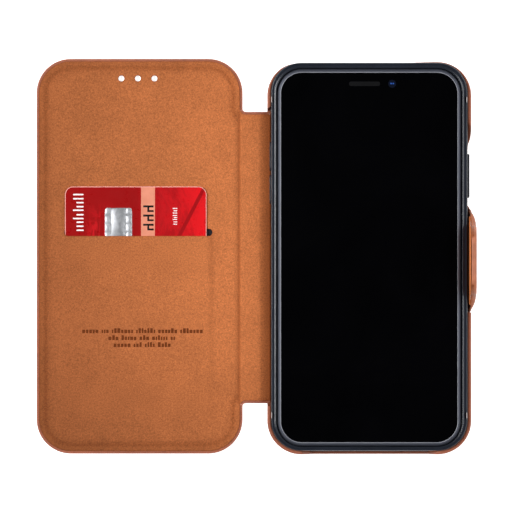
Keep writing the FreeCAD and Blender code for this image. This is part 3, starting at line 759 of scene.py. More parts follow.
def card_print_look(name):
    """Printed card: dark red to bright red across it, worn diagonal brush strokes and a salmon stripe."""
    look = Look(name, roughness=0.34, specular=0.2)
    x = look.axis("X")
    y = look.axis("Y")
    across = look.span(x, 0, 1, card_low.x * MM, card_high.x * MM)
    reds = [(0.0, srgb(148, 10, 12)), (0.5, CARD_DARK), (0.68, srgb(178, 18, 24)), (1.0, srgb(218, 22, 29))]
    ground = look.ramp(across, reds)
    strokes = look.noise(95, 5.0, 0.75, 1.6, (1.0, 0.45, 1.0))
    wear = look.shades(strokes, WHITE, (0.42, 0.72), (0.55, 1.0), (0.9, 1.1))
    right = look.shades(across, WHITE, (0.62, 0.0), (0.66, 1.0))
    left = look.shades(across, WHITE, (0.14, 0.0), (0.2, 1.0), (0.3, 1.0), (0.36, 0.0))
    low = look.shades(look.span(y, 0, 1, 10 * MM, 22 * MM), WHITE, (0.0, 1.0), (1.0, 0.0))
    worn = look.mix(right, ground, look.mix(1.0, ground, wear, "MULTIPLY"))
    brush = look.noise(160, 4.0, 0.7, 1.0, (2.2, 0.5, 1.0))
    fan = look.ramp(brush, [(0.48, CARD_DARK), (0.56, srgb(190, 22, 28))])
    worn = look.mix(look.mix(1.0, left, low, "MULTIPLY"), worn, fan)
    slash = look.math("SUBTRACT", x, look.math("MULTIPLY", y, SLASH_SLOPE))
    line = look.math("ABSOLUTE", look.math("ADD", slash, SLASH_AT * MM), 0.0)
    edge = look.shades(look.span(line, 0, 1, 0.0, SLASH_W * MM), WHITE, (0.45, 1.0), (0.75, 0.0))
    worn = look.mix(look.mix(1.0, edge, right, "MULTIPLY"), worn, srgb(150, 12, 18))
    after = look.math("GREATER_THAN", x, CARD_STRIPE[0] * MM)
    before = look.math("LESS_THAN", x, CARD_STRIPE[1] * MM)
    in_stripe = look.math("MULTIPLY", after, before)
    paper = look.ramp(look.noise(240, 2.0), [(0.3, srgb(212, 132, 106)), (0.7, srgb(222, 144, 118))])
    look.colour(look.mix(in_stripe, worn, paper))
    look.rough(look.span(look.noise(350, 3.0), 0.22, 0.36))
    look.bump(look.noise(900, 2.0), 0.01, 0.3)
    return look.material


def plain_print_look(name, base):
    """A solid ink on the card."""
    look = Look(name, roughness=0.45, specular=0.15)
    look.colour(look.shades(look.noise(1200, 2.0), base, (0.3, 0.85), (0.7, 1.05)))
    look.bump(look.noise(2400, 2.0), 0.01, 0.3)
    return look.material


def floor_look():
    """White table lit from below, as a light table, so that no shadow shows."""
    look = Look("studio_paper", roughness=0.95, specular=0.05)
    tone = look.shades(look.noise(3.0, 2.0), WHITE, (0.3, 0.93), (0.7, 0.94))
    look.colour(tone)
    look.links.new(tone, look.shader.inputs["Emission Color"])
    look.shader.inputs["Emission Strength"].default_value = 0.85
    return look.material


suede = suede_look("suede_lining", LINING_COLOUR)
leather = leather_look("outer_leather", LEATHER_COLOUR)
edge_paint = edge_paint_look("painted_leather_edge", EDGE_COLOUR)
tab_edge = edge_paint_look("tab_cut_edge", srgb(172, 104, 74))
core_leather = leather_look("leather_core", srgb(142, 74, 36))
rubber = rubber_look("frame_elastomer", RUBBER_COLOUR)
shell_plastic = hard_plastic_look("shell_plastic", srgb(44, 46, 50), 0.5)
trim_plastic = hard_plastic_look("trim_plastic", srgb(24, 25, 27), 0.18)
phone_metal = metal_look("phone_satin_metal", srgb(70, 73, 84), 0.5, metallic=0.5)
phone_glass = dark_glass_look("phone_black_glass", srgb(3, 3, 4))
lens_glass = lens_look("camera_lens_glass", srgb(16, 26, 62))
front_lens = front_lens_look("front_camera_glass")
grille_mesh = hard_plastic_look("earpiece_mesh", srgb(10, 10, 12), 0.7, 0.08)
flash_plastic = hard_plastic_look("flash_diffuser", srgb(214, 200, 150), 0.3)
greyboard = board_look("greyboard")
microfibre = cloth_look("dark_microfibre", srgb(42, 42, 46))
steel = metal_look("nickel_plated_steel", srgb(190, 190, 194), 0.3, (0.2, 1, 1))
card_print = card_print_look("card_print")
chip_metal = chip_look("chip_plate", srgb(182, 184, 188))
card_white = plain_print_look("card_white_ink", srgb(244, 236, 236))
card_black = plain_print_look("card_black_ink", srgb(8, 6, 6))
card_rim = plain_print_look("card_core", srgb(236, 160, 150))
burnish = suede_look("burnished_suede", srgb(104, 50, 22))
# Pale plastic for the lips by the frame's slots: a shell's lip, its light colour a painted glint.
clip_plastic_painted_glint = hard_plastic_look("clip_plastic_painted_glint", srgb(196, 186, 184), 0.4)


# ---- Cover lining and spine lining --------------------------------------------------------


def blend_at_cover(piece):
    """Bake a piece's placement into its mesh."""
    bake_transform(piece)


def blend_at_case(piece):
    """Bake a spine piece's placement into its mesh."""
    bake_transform(piece)


def cover_outline(inset):
    """The cover with the spine's near half, cut at a seam: the line starts and ends on the seam."""
    half = SPINE_HALF_H - inset
    x0, x1 = cover_low.x + inset, cover_high.x - inset
    y0, y1 = cover_low.y + COVER_FOOT + inset, cover_high.y + COVER_HEAD - inset
    radius, notch = COVER_CORNER_R - inset, NOTCH_R + inset
    loop = [(SPINE_SEAM_X, half)]
    loop += arc(x1 + notch, half + notch, notch, 270, 180, 6)
    loop += arc(x1 - radius, y1 - radius, radius, 0, 90, 16)
    loop += arc(x0 + radius, y1 - radius, radius, 90, 180, 16)
    loop += arc(x0 + radius, y0 + radius, radius, 180, 270, 16)
    loop += arc(x1 - radius, y0 + radius, radius, 270, 360, 16)
    loop += arc(x1 + notch, -half - notch, notch, 180, 90, 6)
    loop.append((SPINE_SEAM_X, -half))
    return loop


def slit_outline(grow):
    """The card slit, with round ends."""
    radius = (SLIT_Y1 - SLIT_Y0) / 2 + grow - 0.01
    return rounded_rect(SLIT_X0 - grow, SLIT_X1 + grow, SLIT_Y0 - grow, SLIT_Y1 + grow, radius, 6)[::-1]


def punch_outline(index):
    """One of the three punched holes."""

    def outline(grow):
        centre = PUNCH_X + index * PUNCH_PITCH
        return arc(centre, PUNCH_Y, PUNCH_R + grow, 360, 0, 20)[:-1]

    return outline


def card_top(y):
    """Height of the card's upper face along its length."""
    return card_high.z - (card_high.y - y) * card_axis.z / card_axis.y


def over_card(x, y):
    """How much of the card's height the lining follows at a place, from 0 to 1."""
    left = smooth(x, card_low.x - 3.6, card_low.x - 0.4)
    right = 1 - smooth(x, card_high.x + 0.3, card_high.x + 3.2)
    foot = smooth(y, card_low.y - 7, card_low.y - 0.5)
    head = 1 - smooth(y, SLIT_Y0 + 1.2, SLIT_Y1 + 0.05)
    return left * right * foot * head


def cover_height(plane):
    """Upper face of the lining over the cover and the spine's half."""
    x, y = plane[:, 0], plane[:, 1]
    in_spine = smooth(x, hinge_b.x - 1.2, CREASE_X) * smooth(SPINE_HALF_H + 1.5 - np.abs(y), 0, 2.0)
    height = LINING_TOP + (SPINE_TOP - LINING_TOP) * in_spine
    height = height - CREASE_DEPTH * bell(x, CREASE_X, CREASE_W) * (np.abs(y) < SPINE_HALF_H + 1)
    height = height + (card_top(y) + POCKET_SLACK + LINING_T - height) * over_card(x, y)
    rim = gap_to_rim(plane)
    height = height + TURN_IN_LIFT * (1 - smooth(rim, GROOVE_AT - 0.8, GROOVE_AT + 0.2)) * (1 - in_spine)
    return height - GROOVE_DEPTH * bell(rim, GROOVE_AT, GROOVE_W) * (1 - in_spine)


def gap_to_rim(plane):
    """Distance to the cover's own rim."""
    loop = cover_outline(LINING_INSET)
    return distance_to(plane, loop[1:-1], False)


def cover_wear_and_painted_shade(plane, gap):
    """Burnished band along the turned edge with painted shade in its groove, painted shade in the crease,
    and darker along the cut edges and round the slit.
    """
    x, y = plane[:, 0], plane[:, 1]
    rim = gap_to_rim(plane)
    # Painted shade in the groove by the turned edge, over a pressed band.
    turned = 0.36 * bell(rim, GROOVE_AT + 0.2, 0.7) + 0.16 * (1 - smooth(rim, 2.5, 6.0))
    edge = 0.45 * (1 - smooth(gap, 0.0, 0.35))
    # Painted shade in the crease.
    crease = 0.6 * bell(x, CREASE_X, CREASE_W) * (np.abs(y) < SPINE_HALF_H)
    in_spine = smooth(x, hinge_b.x - 0.6, CREASE_X)
    return np.clip(np.maximum(turned * (1 - in_spine), crease) + edge, 0, 1)


# Painted shade on the suede: how dark it gets towards the cover's far side and towards both ends.
PAINTED_SHADE_FAR_SIDE, PAINTED_SHADE_FALL, PAINTED_SHADE_LESS_AT_HEAD = 0.40, 0.38, 0.25
PAINTED_SHADE_HEAD, PAINTED_SHADE_FOOT = 0.14, 0.28


def painted_falloff_shade(plane, _):
    """Painted shade: darker towards the cover's far side and towards both ends, where the light falls off.
    """
    x, y = plane[:, 0], plane[:, 1]
    across = PAINTED_SHADE_FAR_SIDE - PAINTED_SHADE_FALL * (x - cover_low.x) / (hinge_b.x - cover_low.x)
    across *= 1 - PAINTED_SHADE_LESS_AT_HEAD * smooth(y, 0, cover_high.y)
    ends = np.where(y > 0, PAINTED_SHADE_HEAD, PAINTED_SHADE_FOOT) * (y / cover_high.y) ** 2
    return np.clip(1 - (1 - across) * (1 - ends), 0, 1)


def build_cover_lining():
    """Suede over the cover and the near half of the spine."""

    def outline(inset):
        return cover_outline(LINING_INSET + inset)

    holes = [slit_outline] + [punch_outline(index) for index in (-1, 0, 1)]
    fine = [(SLIT_X0 - 4, SLIT_X1 + 4, SLIT_Y0 - 4, SLIT_Y1 + 2.5, 0.45)]
    fine.append((CREASE_X - 2.2, CREASE_X + 1.6, -SPINE_HALF_H, SPINE_HALF_H, 0.4))
    # Mesh values for the suede: 'wear' holds burnish and painted shade, 'nap' holds painted shade.
    shades = {"wear": cover_wear_and_painted_shade, "nap": painted_falloff_shade}
    piece = sheet(
        "suede_cover_lining", outline, holes, 0.9, cover_height, LINING_T, suede,
        fine=fine, values=shades,
    )
    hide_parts("cover_lining", "spine_lining")
    blend_at_cover(piece)
    return piece


SPINE_FOOT_X = rim_low.x - 0.15
SPINE_FOOT_Z = 0.85


def spine_outline(inset):
    """The suede's outline over the spine's far half: it starts and ends on the seam."""
    half, foot = SPINE_HALF_H - LINING_INSET - inset, SPINE_FOOT_X - inset
    return [(SPINE_SEAM_X, -half), (foot, -half), (foot, half), (SPINE_SEAM_X, half)]


def spine_height(plane):
    """The lining dips towards the frame."""
    x = plane[:, 0]
    return SPINE_TOP + (SPINE_FOOT_Z + LINING_T - SPINE_TOP) * smooth(x, hinge_a.x - 3.0, SPINE_FOOT_X)


def spine_painted_shade(plane, gap):
    """Painted shade, darker towards the frame that stands beside the spine, and darker along the cut edges.
    """
    x = plane[:, 0]
    return np.clip(0.8 * smooth(x, hinge_a.x - 3.4, SPINE_FOOT_X) + 0.3 * (1 - smooth(gap, 0.0, 0.5)), 0, 1)


def build_spine_lining():
    """Suede over the spine's far half, tucked against the frame."""
    # Mesh values for the suede: 'wear' holds painted shade by the frame, 'nap' holds painted shade.
    shades = {"wear": spine_painted_shade, "nap": painted_falloff_shade}
    piece = sheet("suede_spine_lining", spine_outline, [], 0.7, spine_height, LINING_T, suede, values=shades)
    blend_at_case(piece)
    return piece


def declare_cover_suede():
    """The cover's suede is one cut, as far as the middle of the spine, less the slit and the holes."""
    loop = cover_outline(LINING_INSET)
    missing = loop_area(slit_outline(0)) + 3 * loop_area(punch_outline(0)(0))
    declare_cut(loop, missing)


# ---- Cover leather ------------------------------------------------------------------------

RIM_W = 1.25
CASE_EDGE_X = hinge_a.x + 1.1


def build_cover_leather():
    """Outer leather, turned up round the board as a rim, with the near half of the spine."""
    rim_z = LINING_TOP - 0.3
    spine_share = (SPINE_TOP - 0.28) / rim_z
    profile = [(1.6, 0.0), (0.45, 0.0), (0.2, 0.06), (0.06, 0.22), (0.0, 0.5)]
    profile += [(0.0, rim_z - 0.45), (0.05, rim_z - 0.22), (0.16, rim_z - 0.07), (0.34, rim_z)]
    profile += [(RIM_W - 0.16, rim_z), (RIM_W - 0.03, rim_z - 0.06), (RIM_W, rim_z - 0.2)]
    profile += [(RIM_W, 0.75), (2.0, 0.73)]
    loops = [cover_outline(inset) for inset, _ in profile]
    chains = []
    for (_, z), chain in zip(profile, matched(loops, 1.2)):
        raised = []
        for x, y in chain:
            share = float(smooth(x, hinge_b.x - 1.2, hinge_b.x + 1.0))
            share *= float(smooth(SPINE_HALF_H + 0.9 - abs(y), 0, 0.8))
            raised.append((x, y, z * (1 + (spine_share - 1) * share)))
        chains.append(raised)
    piece = open_loft("leather_cover", chains, leather)
    paint_edge(piece)
    cut_punch_holes(piece)
    slice_across(piece, hinge_b.x - 1.6, SPINE_SEAM_X, 0.3)
    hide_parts("cover_leather")
    blend_at_cover(piece)


def paint_edge(piece):
    """Give the rim's steep narrow faces the painted edge's material."""
    piece.data.materials.append(edge_paint)
    steep, narrow = 0.93, 2.2 * MM * MM
    half_way = max(v.co.z for v in piece.data.vertices) * 0.55
    for face in piece.data.polygons:
        if abs(face.normal.z) < steep and face.center.z > half_way and face.area < narrow:
            face.material_index = 1


def cut_punch_holes(piece):
    """Cut the three punched holes through a mesh."""
    carve(piece, [prism(punch_outline(index)(0)[::-1], -3.0, 3.0, "Z") for index in (-1, 0, 1)])


def build_spine_leather():
    """Outer leather of the spine's far half, with its turned-up ends."""
    half = SPINE_HALF_H
    rim_z = SPINE_TOP - 0.28
    section = [(half - 1.6, 0.0), (half - 0.45, 0.0), (half - 0.2, 0.05), (half - 0.06, 0.16)]
    section += [(half, 0.36), (half, rim_z - 0.3), (half - 0.05, rim_z - 0.16)]
    section += [(half - 0.16, rim_z - 0.05), (half - 0.34, rim_z), (half - RIM_W + 0.16, rim_z)]
    section += [(half - RIM_W, rim_z - 0.15), (half - RIM_W, 0.5), (half - 2.0, 0.5)]
    outline = section + [(-y, z) for y, z in section[::-1]]
    foot_x = CASE_EDGE_X - 0.06
    stations = 14
    loops = []
    for index in range(stations + 1):
        x = SPINE_SEAM_X + (foot_x - SPINE_SEAM_X) * index / stations
        lowered = 1 - 0.3 * float(smooth(x, hinge_a.x - 2.2, foot_x))
        loops.append([(x, y, z * lowered) for y, z in outline])
    piece = loft("leather_spine", loops, leather)
    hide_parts("spine_leather")
    blend_at_case(piece)


# ---- Back case ----------------------------------------------------------------------------

CASE_CORNER_R = 12.8
FRAME_CORNER_R = 11.4
CAVITY_CORNER_R = 9.6
FRAME_TUCK = 0.6
CASE_HEAD_TUCK = 0.5
NOTCH_Y0, NOTCH_Y1 = 58.9, 61.3
WALL_Z = case_high.z
BASE_T = 0.75
SCOOP_Z = 3.2
POWER_CUT = (18.9, 43.0)
TAB_ZONE = (-21.0, 18.9)
TOP_CUT = (-27.0, 10.0)
TOP_FADES = (7.0, 15.0)
BASE_CUT_HALF = 22.0
BASE_CUT_FADE = 4.0
BASE_CUT_Z = 1.4
CUT_FADE = 0.4
SPINE_PULL, TAB_PULL = 0.57, 0.3
RISE = (0.0, 0.03, 0.1, 0.22, 0.4, 0.65, 1.0)
CROWN = ((0.0, 0.0), (0.04, 0.14), (0.16, 0.27), (0.38, 0.35), (0.68, 0.35), (0.9, 0.27), (0.98, 0.1))
CROWN_H = 0.36
INNER_SHARE = 0.98
WINDOW_MARGIN = 2.2
WINDOW_R = 7.2
camera_low, camera_high = box_mm("phone_camera_block")


def low_between(value, low, high, fade_low, fade_high):
    """1 from low to high, and a smooth fade to 0 beyond each end."""
    return float(smooth(value, low - fade_low, low) * (1 - smooth(value, high, high + fade_high)))


def wall_state(x, y):
    """The wall at a place on the outline: its height, how far it is pulled in, how round its foot is."""
    height, pull, foot = WALL_Z, 0.0, 1.0
    half_w, half_h = case_high.x, case_high.y
    if x < -half_w + 3:
        low = low_between(y, -SPINE_HALF_H - 0.5, SPINE_HALF_H + 0.5, CUT_FADE, CUT_FADE)
        gap = low_between(y, 1.0 - SPINE_HALF_H, SPINE_HALF_H - 1.0, 0.5, 0.5)
        height, pull, foot = height + (BASE_T - height) * low, SPINE_PULL * gap, 1 - low
    if x > half_w - 4:
        gap = low_between(y, TAB_ZONE[0] + 0.3, POWER_CUT[1] - 1.5, 0.3, 9.5)
        height = height + (BASE_T - height) * gap
        power = low_between(y, POWER_CUT[0], POWER_CUT[1] - 6.0, CUT_FADE, 12.0)
        tab = low_between(y, TAB_ZONE[0] + 0.3, TAB_ZONE[1], 0.3, CUT_FADE)
        pull, foot = max(power, TAB_PULL * tab), 1 - tab
    if y > half_h - 4:
        gap = low_between(x, *TOP_CUT, *TOP_FADES)
        height, pull = height + (BASE_T - height) * gap, gap
    if y < -half_h + 4:
        gap = low_between(x, -BASE_CUT_HALF, BASE_CUT_HALF, BASE_CUT_FADE, BASE_CUT_FADE)
        height, foot = height + (BASE_CUT_Z - height) * gap, 1 - 0.75 * gap
    return height, pull, foot


def foot_share(z):
    """How far the wall's rounded foot is in at a height: 1 at the table, 0 above the foot."""
    share = min(max(1 - z / SCOOP_Z, 0.0), 1.0)
    return 1 - math.sqrt(1 - share * share)


def wall_column(x0, y0, x1, y1):
    """A section through the wall from an outer to an inner place, up, over the top and down inside."""
    height, pull, foot = wall_state(x0, y0)
    shoulder = height - CROWN_H
    foot_top = min(SCOOP_Z, shoulder)
    floor_z = min(BASE_T, shoulder)

    def place(share, z):
        share = share + (1 - share) * pull
        return (x0 + (x1 - x0) * share, y0 + (y1 - y0) * share, z)

    column = [place(foot_share(foot_top * step) * foot, foot_top * step) for step in RISE]
    first = foot_share(shoulder) * foot
    column += [place(first + (INNER_SHARE - first) * share, shoulder + lift) for share, lift in CROWN]
    return column + [place(INNER_SHARE, floor_z), (x1 * 0.97, y1 * 0.985, floor_z - 0.01)]


def build_back_leather():
    """Outer leather of the back case: a round-footed base, its wall scooped down at each cut."""
    half_w, half_h = case_high.x, case_high.y
    outer = rounded_rect(-half_w, half_w, -half_h, half_h - CASE_HEAD_TUCK, CASE_CORNER_R, 24)
    fw, fh = rim_high.x + 0.02, rim_high.y + 0.02
    inner = rounded_rect(-fw, fw, FRAME_TUCK - fh, fh, FRAME_CORNER_R, 24)
    outer, inner = (loop[:-1] for loop in matched([outer + outer[:1], inner + inner[:1]], 0.5))
    columns = [wall_column(*start, *end) for start, end in zip(outer, inner)]
    piece = loft("leather_back", [list(ring) for ring in zip(*columns)], leather)
    window = inset_rect(camera_low, camera_high, -WINDOW_MARGIN, WINDOW_R - WINDOW_MARGIN, 8)
    carve(piece, [prism(window, -3.0, 3.0, "Z")])
    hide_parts("back_leather")
    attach(piece, "back_case")


FRAME_W = 2.1
# Each pair: how far in from the frame's outer face, and how far below its top.
FRAME_PROFILE = [(0.0, 0.98), (0.02, 0.78), (0.07, 0.6), (0.16, 0.46), (0.28, 0.375), (0.4, 0.34)]
FRAME_PROFILE += [(0.5, 0.33), (0.55, 0.33), (1.12, 0.33), (1.17, 0.33), (1.22, 0.29), (1.26, 0.22)]
FRAME_PROFILE += [(1.3, 0.16), (1.34, 0.125), (1.4, 0.105), (1.78, 0.02), (1.84, 0.008), (1.9, 0.0)]
FRAME_PROFILE += [(1.94, 0.01), (2.0, 0.06), (2.06, 0.2), (2.09, 0.4), (FRAME_W, 0.85)]
MUTE_Y, MUTE_HALF_H = (47.6, 53.2), 1.8
PORT_Z, PORT_HALF_W = (3.7, 8.3), 7.0
OPENING_R = 1.6
SPEAKER_X, SPEAKER_PITCH, SPEAKER_R = 10.0, 2.6, 0.75
SLOT_INSETS = (1.05, 0.42)
LIP_INSETS = (0.4, 0.16)
CLIP_DROP, CLIP_T = 0.42, 0.12


def side_hole(node, margin, side):
    """A button's opening through the frame, as a cutting solid along X."""
    low, high = box_mm(node)
    loop = rounded_rect(low.y - margin, high.y + margin, low.z - margin, high.z + margin, 1.4, 5)
    return prism(loop, 30.0, 45.0, "X") if side > 0 else prism(loop, -45.0, -30.0, "X")


def end_hole(loop):
    """An opening through the frame's foot, as a cutting solid along Y."""
    return prism(loop, -80.0, -65.0, "Y")


def frame_openings():
    """Openings for the buttons, the mute switch, the port and the speakers."""
    middle = sum(box_mm("power_button_cover")[k].z for k in (0, 1)) / 2
    holes = [side_hole("power_button_cover", 0.2, 1)]
    holes += [side_hole(node, 0.2, -1) for node in ("volume_up_cover", "volume_down_cover")]
    mute = rounded_rect(*MUTE_Y, middle - MUTE_HALF_H, middle + MUTE_HALF_H, OPENING_R, 5)
    holes.append(prism(mute, -45.0, -30.0, "X"))
    holes.append(end_hole(rounded_rect(*PORT_Z, -PORT_HALF_W, PORT_HALF_W, OPENING_R, 5)))
    for side in (-1, 1):
        for index in range(5):
            x = side * (SPEAKER_X + index * SPEAKER_PITCH)
            holes.append(end_hole(arc(middle, x, SPEAKER_R, 0, 360, 16)[:-1]))
    return holes


def corner_slots(top):
    """Slots in the frame near its corners, and the outlines of the lips beside them, pale as a painted
    glint.
    """
    slots, lips = [], []
    for side in (-1, 1):
        for y0, y1 in ((NOTCH_Y0, NOTCH_Y1), (-NOTCH_Y1, -NOTCH_Y0)):
            slot = sorted(side * (rim_high.x - inset) for inset in SLOT_INSETS)
            lip = sorted(side * (rim_high.x - inset) for inset in LIP_INSETS)
            slots.append(prism(rounded_rect(*slot, y0, y1, 0.2, 4), top - 1.6, top + 1.0, "Z"))
            lips.append(pad_outline(*lip, y0 + 0.1, y1 - 0.1, 0.1))
    return slots, lips


def build_frame():
    """Soft frame: a rim with a fine bead next to the phone, and a rounded outer shoulder."""
    top = rim_high.z
    profile = [(0.0, rim_low.z)] + [(inset, top - depth) for inset, depth in FRAME_PROFILE]
    profile.append((FRAME_W, rim_low.z))
    loops = []
    for inset, z in profile:
        radius = FRAME_CORNER_R - inset * (FRAME_CORNER_R - CAVITY_CORNER_R) / FRAME_W
        w, h = rim_high.x - inset, rim_high.y - inset
        share = 1 - inset / FRAME_W
        outline = rounded_rect(-w, w, FRAME_TUCK * share - h, h, radius, 20)
        loops.append([(x, y, z) for x, y in outline])
    piece = ring_loft("frame_rim", loops, rubber)
    slots, lips = corner_slots(top)
    carve(piece, frame_openings() + slots)
    # Pale lips beside the slots, coloured light as a painted glint.
    clips = pads("frame_clip_lips_painted_glint", lips, lambda x, y: top - CLIP_DROP, CLIP_T, clip_plastic_painted_glint)
    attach(clips, "back_case")
    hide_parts("bumper_frame")
    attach(piece, "back_case")


# ---- Slogan, as plain dashes --------------------------------------------------------------


SLOGAN_Y = -28.0
SLOGAN_PITCH = 2.65
SLOGAN_WIDTHS = (46.0, 26.0, 22.0)
LOW_RISE, TALL_RISE = 0.5, 1.05
DASH_GAP, WORD_GAP = 0.3, 0.9


def build_slogan():
    """Three centred rows of short burnished dashes."""
    centre_x = (card_low.x + card_high.x) / 2 + 2.6
    dice = random.Random(7)
    outlines = []
    for row, width in enumerate(SLOGAN_WIDTHS):
        y = SLOGAN_Y - row * SLOGAN_PITCH
        x = centre_x - width / 2
        while x < centre_x + width / 2 - 1.0:
            letters = dice.randint(3, 7)
            for _ in range(letters):
                length = dice.uniform(0.55, 1.15)
                if x + length > centre_x + width / 2:
                    break
                rise = dice.choice((LOW_RISE, LOW_RISE, TALL_RISE))
                outlines.append(pad_outline(x, x + length, y - 0.8, y + rise, 0.16))
                x += length + DASH_GAP
            x += WORD_GAP

    def top(x, y):
        return float(cover_height(np.array([[x, y]]))[0])

    piece = pads("slogan_dashes", outlines, top, 0.03, burnish)
    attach(piece, "front_cover")


# ---- Card ---------------------------------------------------------------------------------

CARD_R = 3.18
CARD_T = 0.76
CARD_RIM = 0.3
CHIP_R = 1.8
DIGIT_W, DIGIT_PITCH = 4.0, 3.5


def build_card():
    """The payment card, with a pale rim round its printed face."""
    profile = [(0.1, -CARD_T), (0.0, -CARD_T + 0.1), (0.0, -0.1), (0.03, -0.03)]
    profile += [(0.1, 0.0), (CARD_RIM, 0.0)]
    loops = []
    for inset, level in profile:
        loop = inset_rect(card_low, card_high, inset, CARD_R, 12)
        loops.append([(x, y, card_top(y) + level) for x, y in loop])
    piece = loft("payment_card", loops, card_rim)
    piece.data.materials.append(card_print)
    piece.data.polygons[len(piece.data.polygons) - 1].material_index = 1
    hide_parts("card")
    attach(piece, "card")


def card_bars(name, outlines, material, thick=0.02):
    """Print on the card's face."""
    piece = pads(name, outlines, lambda x, y: card_top(y), thick, material)
    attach(piece, "card")


def stroke_rows(x0, x1, y_top, y_bottom, stroke, gap, dice, shorten=0.0):
    """A column of thin strokes across the card, in uneven lengths, standing for lettering."""
    outlines = []
    y = y_top
    while y - stroke > y_bottom:
        cut = shorten * dice.choice((0, 1, 1))
        outlines.append(pad_outline(x0 + cut, x1, y - stroke, y, stroke * 0.3))
        y -= stroke + gap * dice.uniform(0.8, 1.3)
    return outlines


def build_card_marks():
    """Plain strokes and blocks in the places of the card's name, digits and date."""
    dice = random.Random(3)
    name_x, date_x, digit_x = card_low.x + 3.1, card_high.x - 12.9, card_low.x + 29.8
    white = stroke_rows(name_x, name_x + 4.0, card_high.y - 2.8, card_high.y - 17.4, 0.55, 0.95, dice, 1.3)
    white += stroke_rows(date_x, date_x + 1.7, card_high.y - 8.2, card_high.y - 15.4, 0.34, 0.5, dice, 0.3)
    card_bars("card_plain_bars", white, card_white)
    black = []
    for index in range(3):
        y = card_high.y - 7.2 - index * DIGIT_PITCH
        black.append(pad_outline(digit_x, digit_x + DIGIT_W, y - 0.75, y, 0.1))
        black.append(pad_outline(digit_x + 1.9, digit_x + DIGIT_W, y - 2.5, y - 1.8, 0.1))
        black.append(pad_outline(digit_x + 1.6, digit_x + 2.3, y - 2.5, y, 0.1))
    card_bars("card_plain_blocks", black, card_black, 0.05)


def build_chip():
    """The contact chip: a domed plate with pads parted by fine grooves."""
    x0, x1, y0, y1 = chip_low.x, chip_high.x, chip_low.y, chip_high.y
    profile = [(0.0, -0.2), (0.0, -0.01), (0.05, 0.02), (0.3, 0.035)]
    loops = []
    for inset, level in profile:
        loop = inset_rect(chip_low, chip_high, inset, CHIP_R, 8)
        loops.append([(x, y, card_top(y) + level) for x, y in loop])
    plate = loft("chip_plate", loops, chip_metal)
    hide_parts("card_chip")
    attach(plate, "card")
    gap = 0.16
    column = (x1 - x0 - 2 * gap) / 4.4
    row = (y1 - y0 - 3 * gap) / 4
    outlines = []
    for index in range(4):
        low_y = y0 + index * (row + gap)
        radius = 0.9 if index in (0, 3) else 0.2
        outlines.append(pad_outline(x0 + 0.1, x0 + column, low_y, low_y + row, radius))
        outlines.append(pad_outline(x1 - column, x1 - 0.1, low_y, low_y + row, radius))
    outlines.append(pad_outline(x0 + column + gap, x1 - column - gap, y0 + 0.1, y1 - 0.1, 1.2))
    contacts = pads("chip_contacts", outlines, lambda x, y: card_top(y), 0.075, chip_metal)
    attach(contacts, "card")


# ---- Clasp tab ----------------------------------------------------------------------------

TAB_SPLIT_Z = 8.6
TAB_SHOULDER_Z = 3.2
TAB_TIP_R = 7.0
TAB_ROOT_Z = 0.5
TAB_EDGE_STEPS = 18
TAB_SUEDE_INSET = 3.0
FAR_BELOW, FAR_ABOVE = -5.0, 60.0


def tab_side_chain(root_y, tip_y, z_from, z_to):
    """The tab's side edge between two heights: an S-shaped shoulder."""
    z0, z3 = TAB_SHOULDER_Z, hinge_d.z
    middle = (z0 + z3) / 2
    chain = []
    for index in range(61):
        t = index / 60
        s = 1 - t
        y = root_y * (s ** 3 + 3 * s * s * t) + tip_y * (3 * s * t * t + t ** 3)
        chain.append((y, z0 * s ** 3 + 3 * middle * s * s * t + 3 * middle * s * t * t + z3 * t ** 3))
    ys = [root_y] + [y for y, _ in chain] + [tip_y]
    zs = [FAR_BELOW] + [z for _, z in chain] + [FAR_ABOVE]
    result = []
    for index in range(TAB_EDGE_STEPS + 1):
        z = z_from + (z_to - z_from) * index / TAB_EDGE_STEPS
        result.append((float(np.interp(z, zs, ys)), z))
    return result


def tab_suede_lower(inset):
    """The suede inside the standing part, set back from its shoulders."""
    return tab_lower_outline(inset + TAB_SUEDE_INSET)


def tab_lower_outline(inset):
    """The tab below the split, from the split down one side, along the root and up the other."""
    y0, y1 = tab_side_low.y + inset, tab_side_high.y - inset
    tip0, tip1 = tab_flap_low.y + inset, tab_flap_high.y - inset
    down = tab_side_chain(y0, tip0, TAB_SPLIT_Z, TAB_ROOT_Z + inset)
    up = tab_side_chain(y1, tip1, TAB_ROOT_Z + inset, TAB_SPLIT_Z)
    return down + up


def tab_upper_outline(inset):
    """The tab above the split, from the split up one side, round the tip and down the other."""
    y0, y1 = tab_side_low.y + inset, tab_side_high.y - inset
    tip0, tip1 = tab_flap_low.y + inset, tab_flap_high.y - inset
    top = tab_flap_high.z - inset
    radius = TAB_TIP_R - inset
    up = tab_side_chain(y1, tip1, TAB_SPLIT_Z, top - radius)
    tip = arc(tip1 - radius, top - radius, radius, 0, 90, 14)[1:]
    tip += arc(tip0 + radius, top - radius, radius, 90, 180, 14)
    down = tab_side_chain(y0, tip0, top - radius, TAB_SPLIT_Z)[1:]
    return up + tip + down


def tab_end_drop(y):
    """How far the tab's ends bend in towards the case."""
    middle = (tab_flap_low.y + tab_flap_high.y) / 2
    past = np.clip(np.abs(y - middle) - 12.0, 0, None) / 7.7
    return np.minimum(1.8 * past ** 3, 1.0)


def tab_outer_x(plane):
    """The leather's outer face: thin at the root, thicker over the flap."""
    y, z = plane[:, 0], plane[:, 1]
    full = tab_flap_high.x - 0.05
    thin = tab_side_high.x - 0.25
    return thin + (full - thin) * smooth(z, 1.0, 12.0) - tab_end_drop(y)


def tab_suede_x(plane):
    """The suede's outer face is flat."""
    return np.full(len(plane), tab_lining_high.x)


def tab_place(y, z, x):
    """From the tab's own plane to the frame."""
    return (x, y, z)


def tab_leather_thickness(plane):
    """How thick the outer leather is at each point."""
    return tab_outer_x(plane) - (tab_lining_high.x + 0.22 - 0.75 * tab_end_drop(plane[:, 0]))


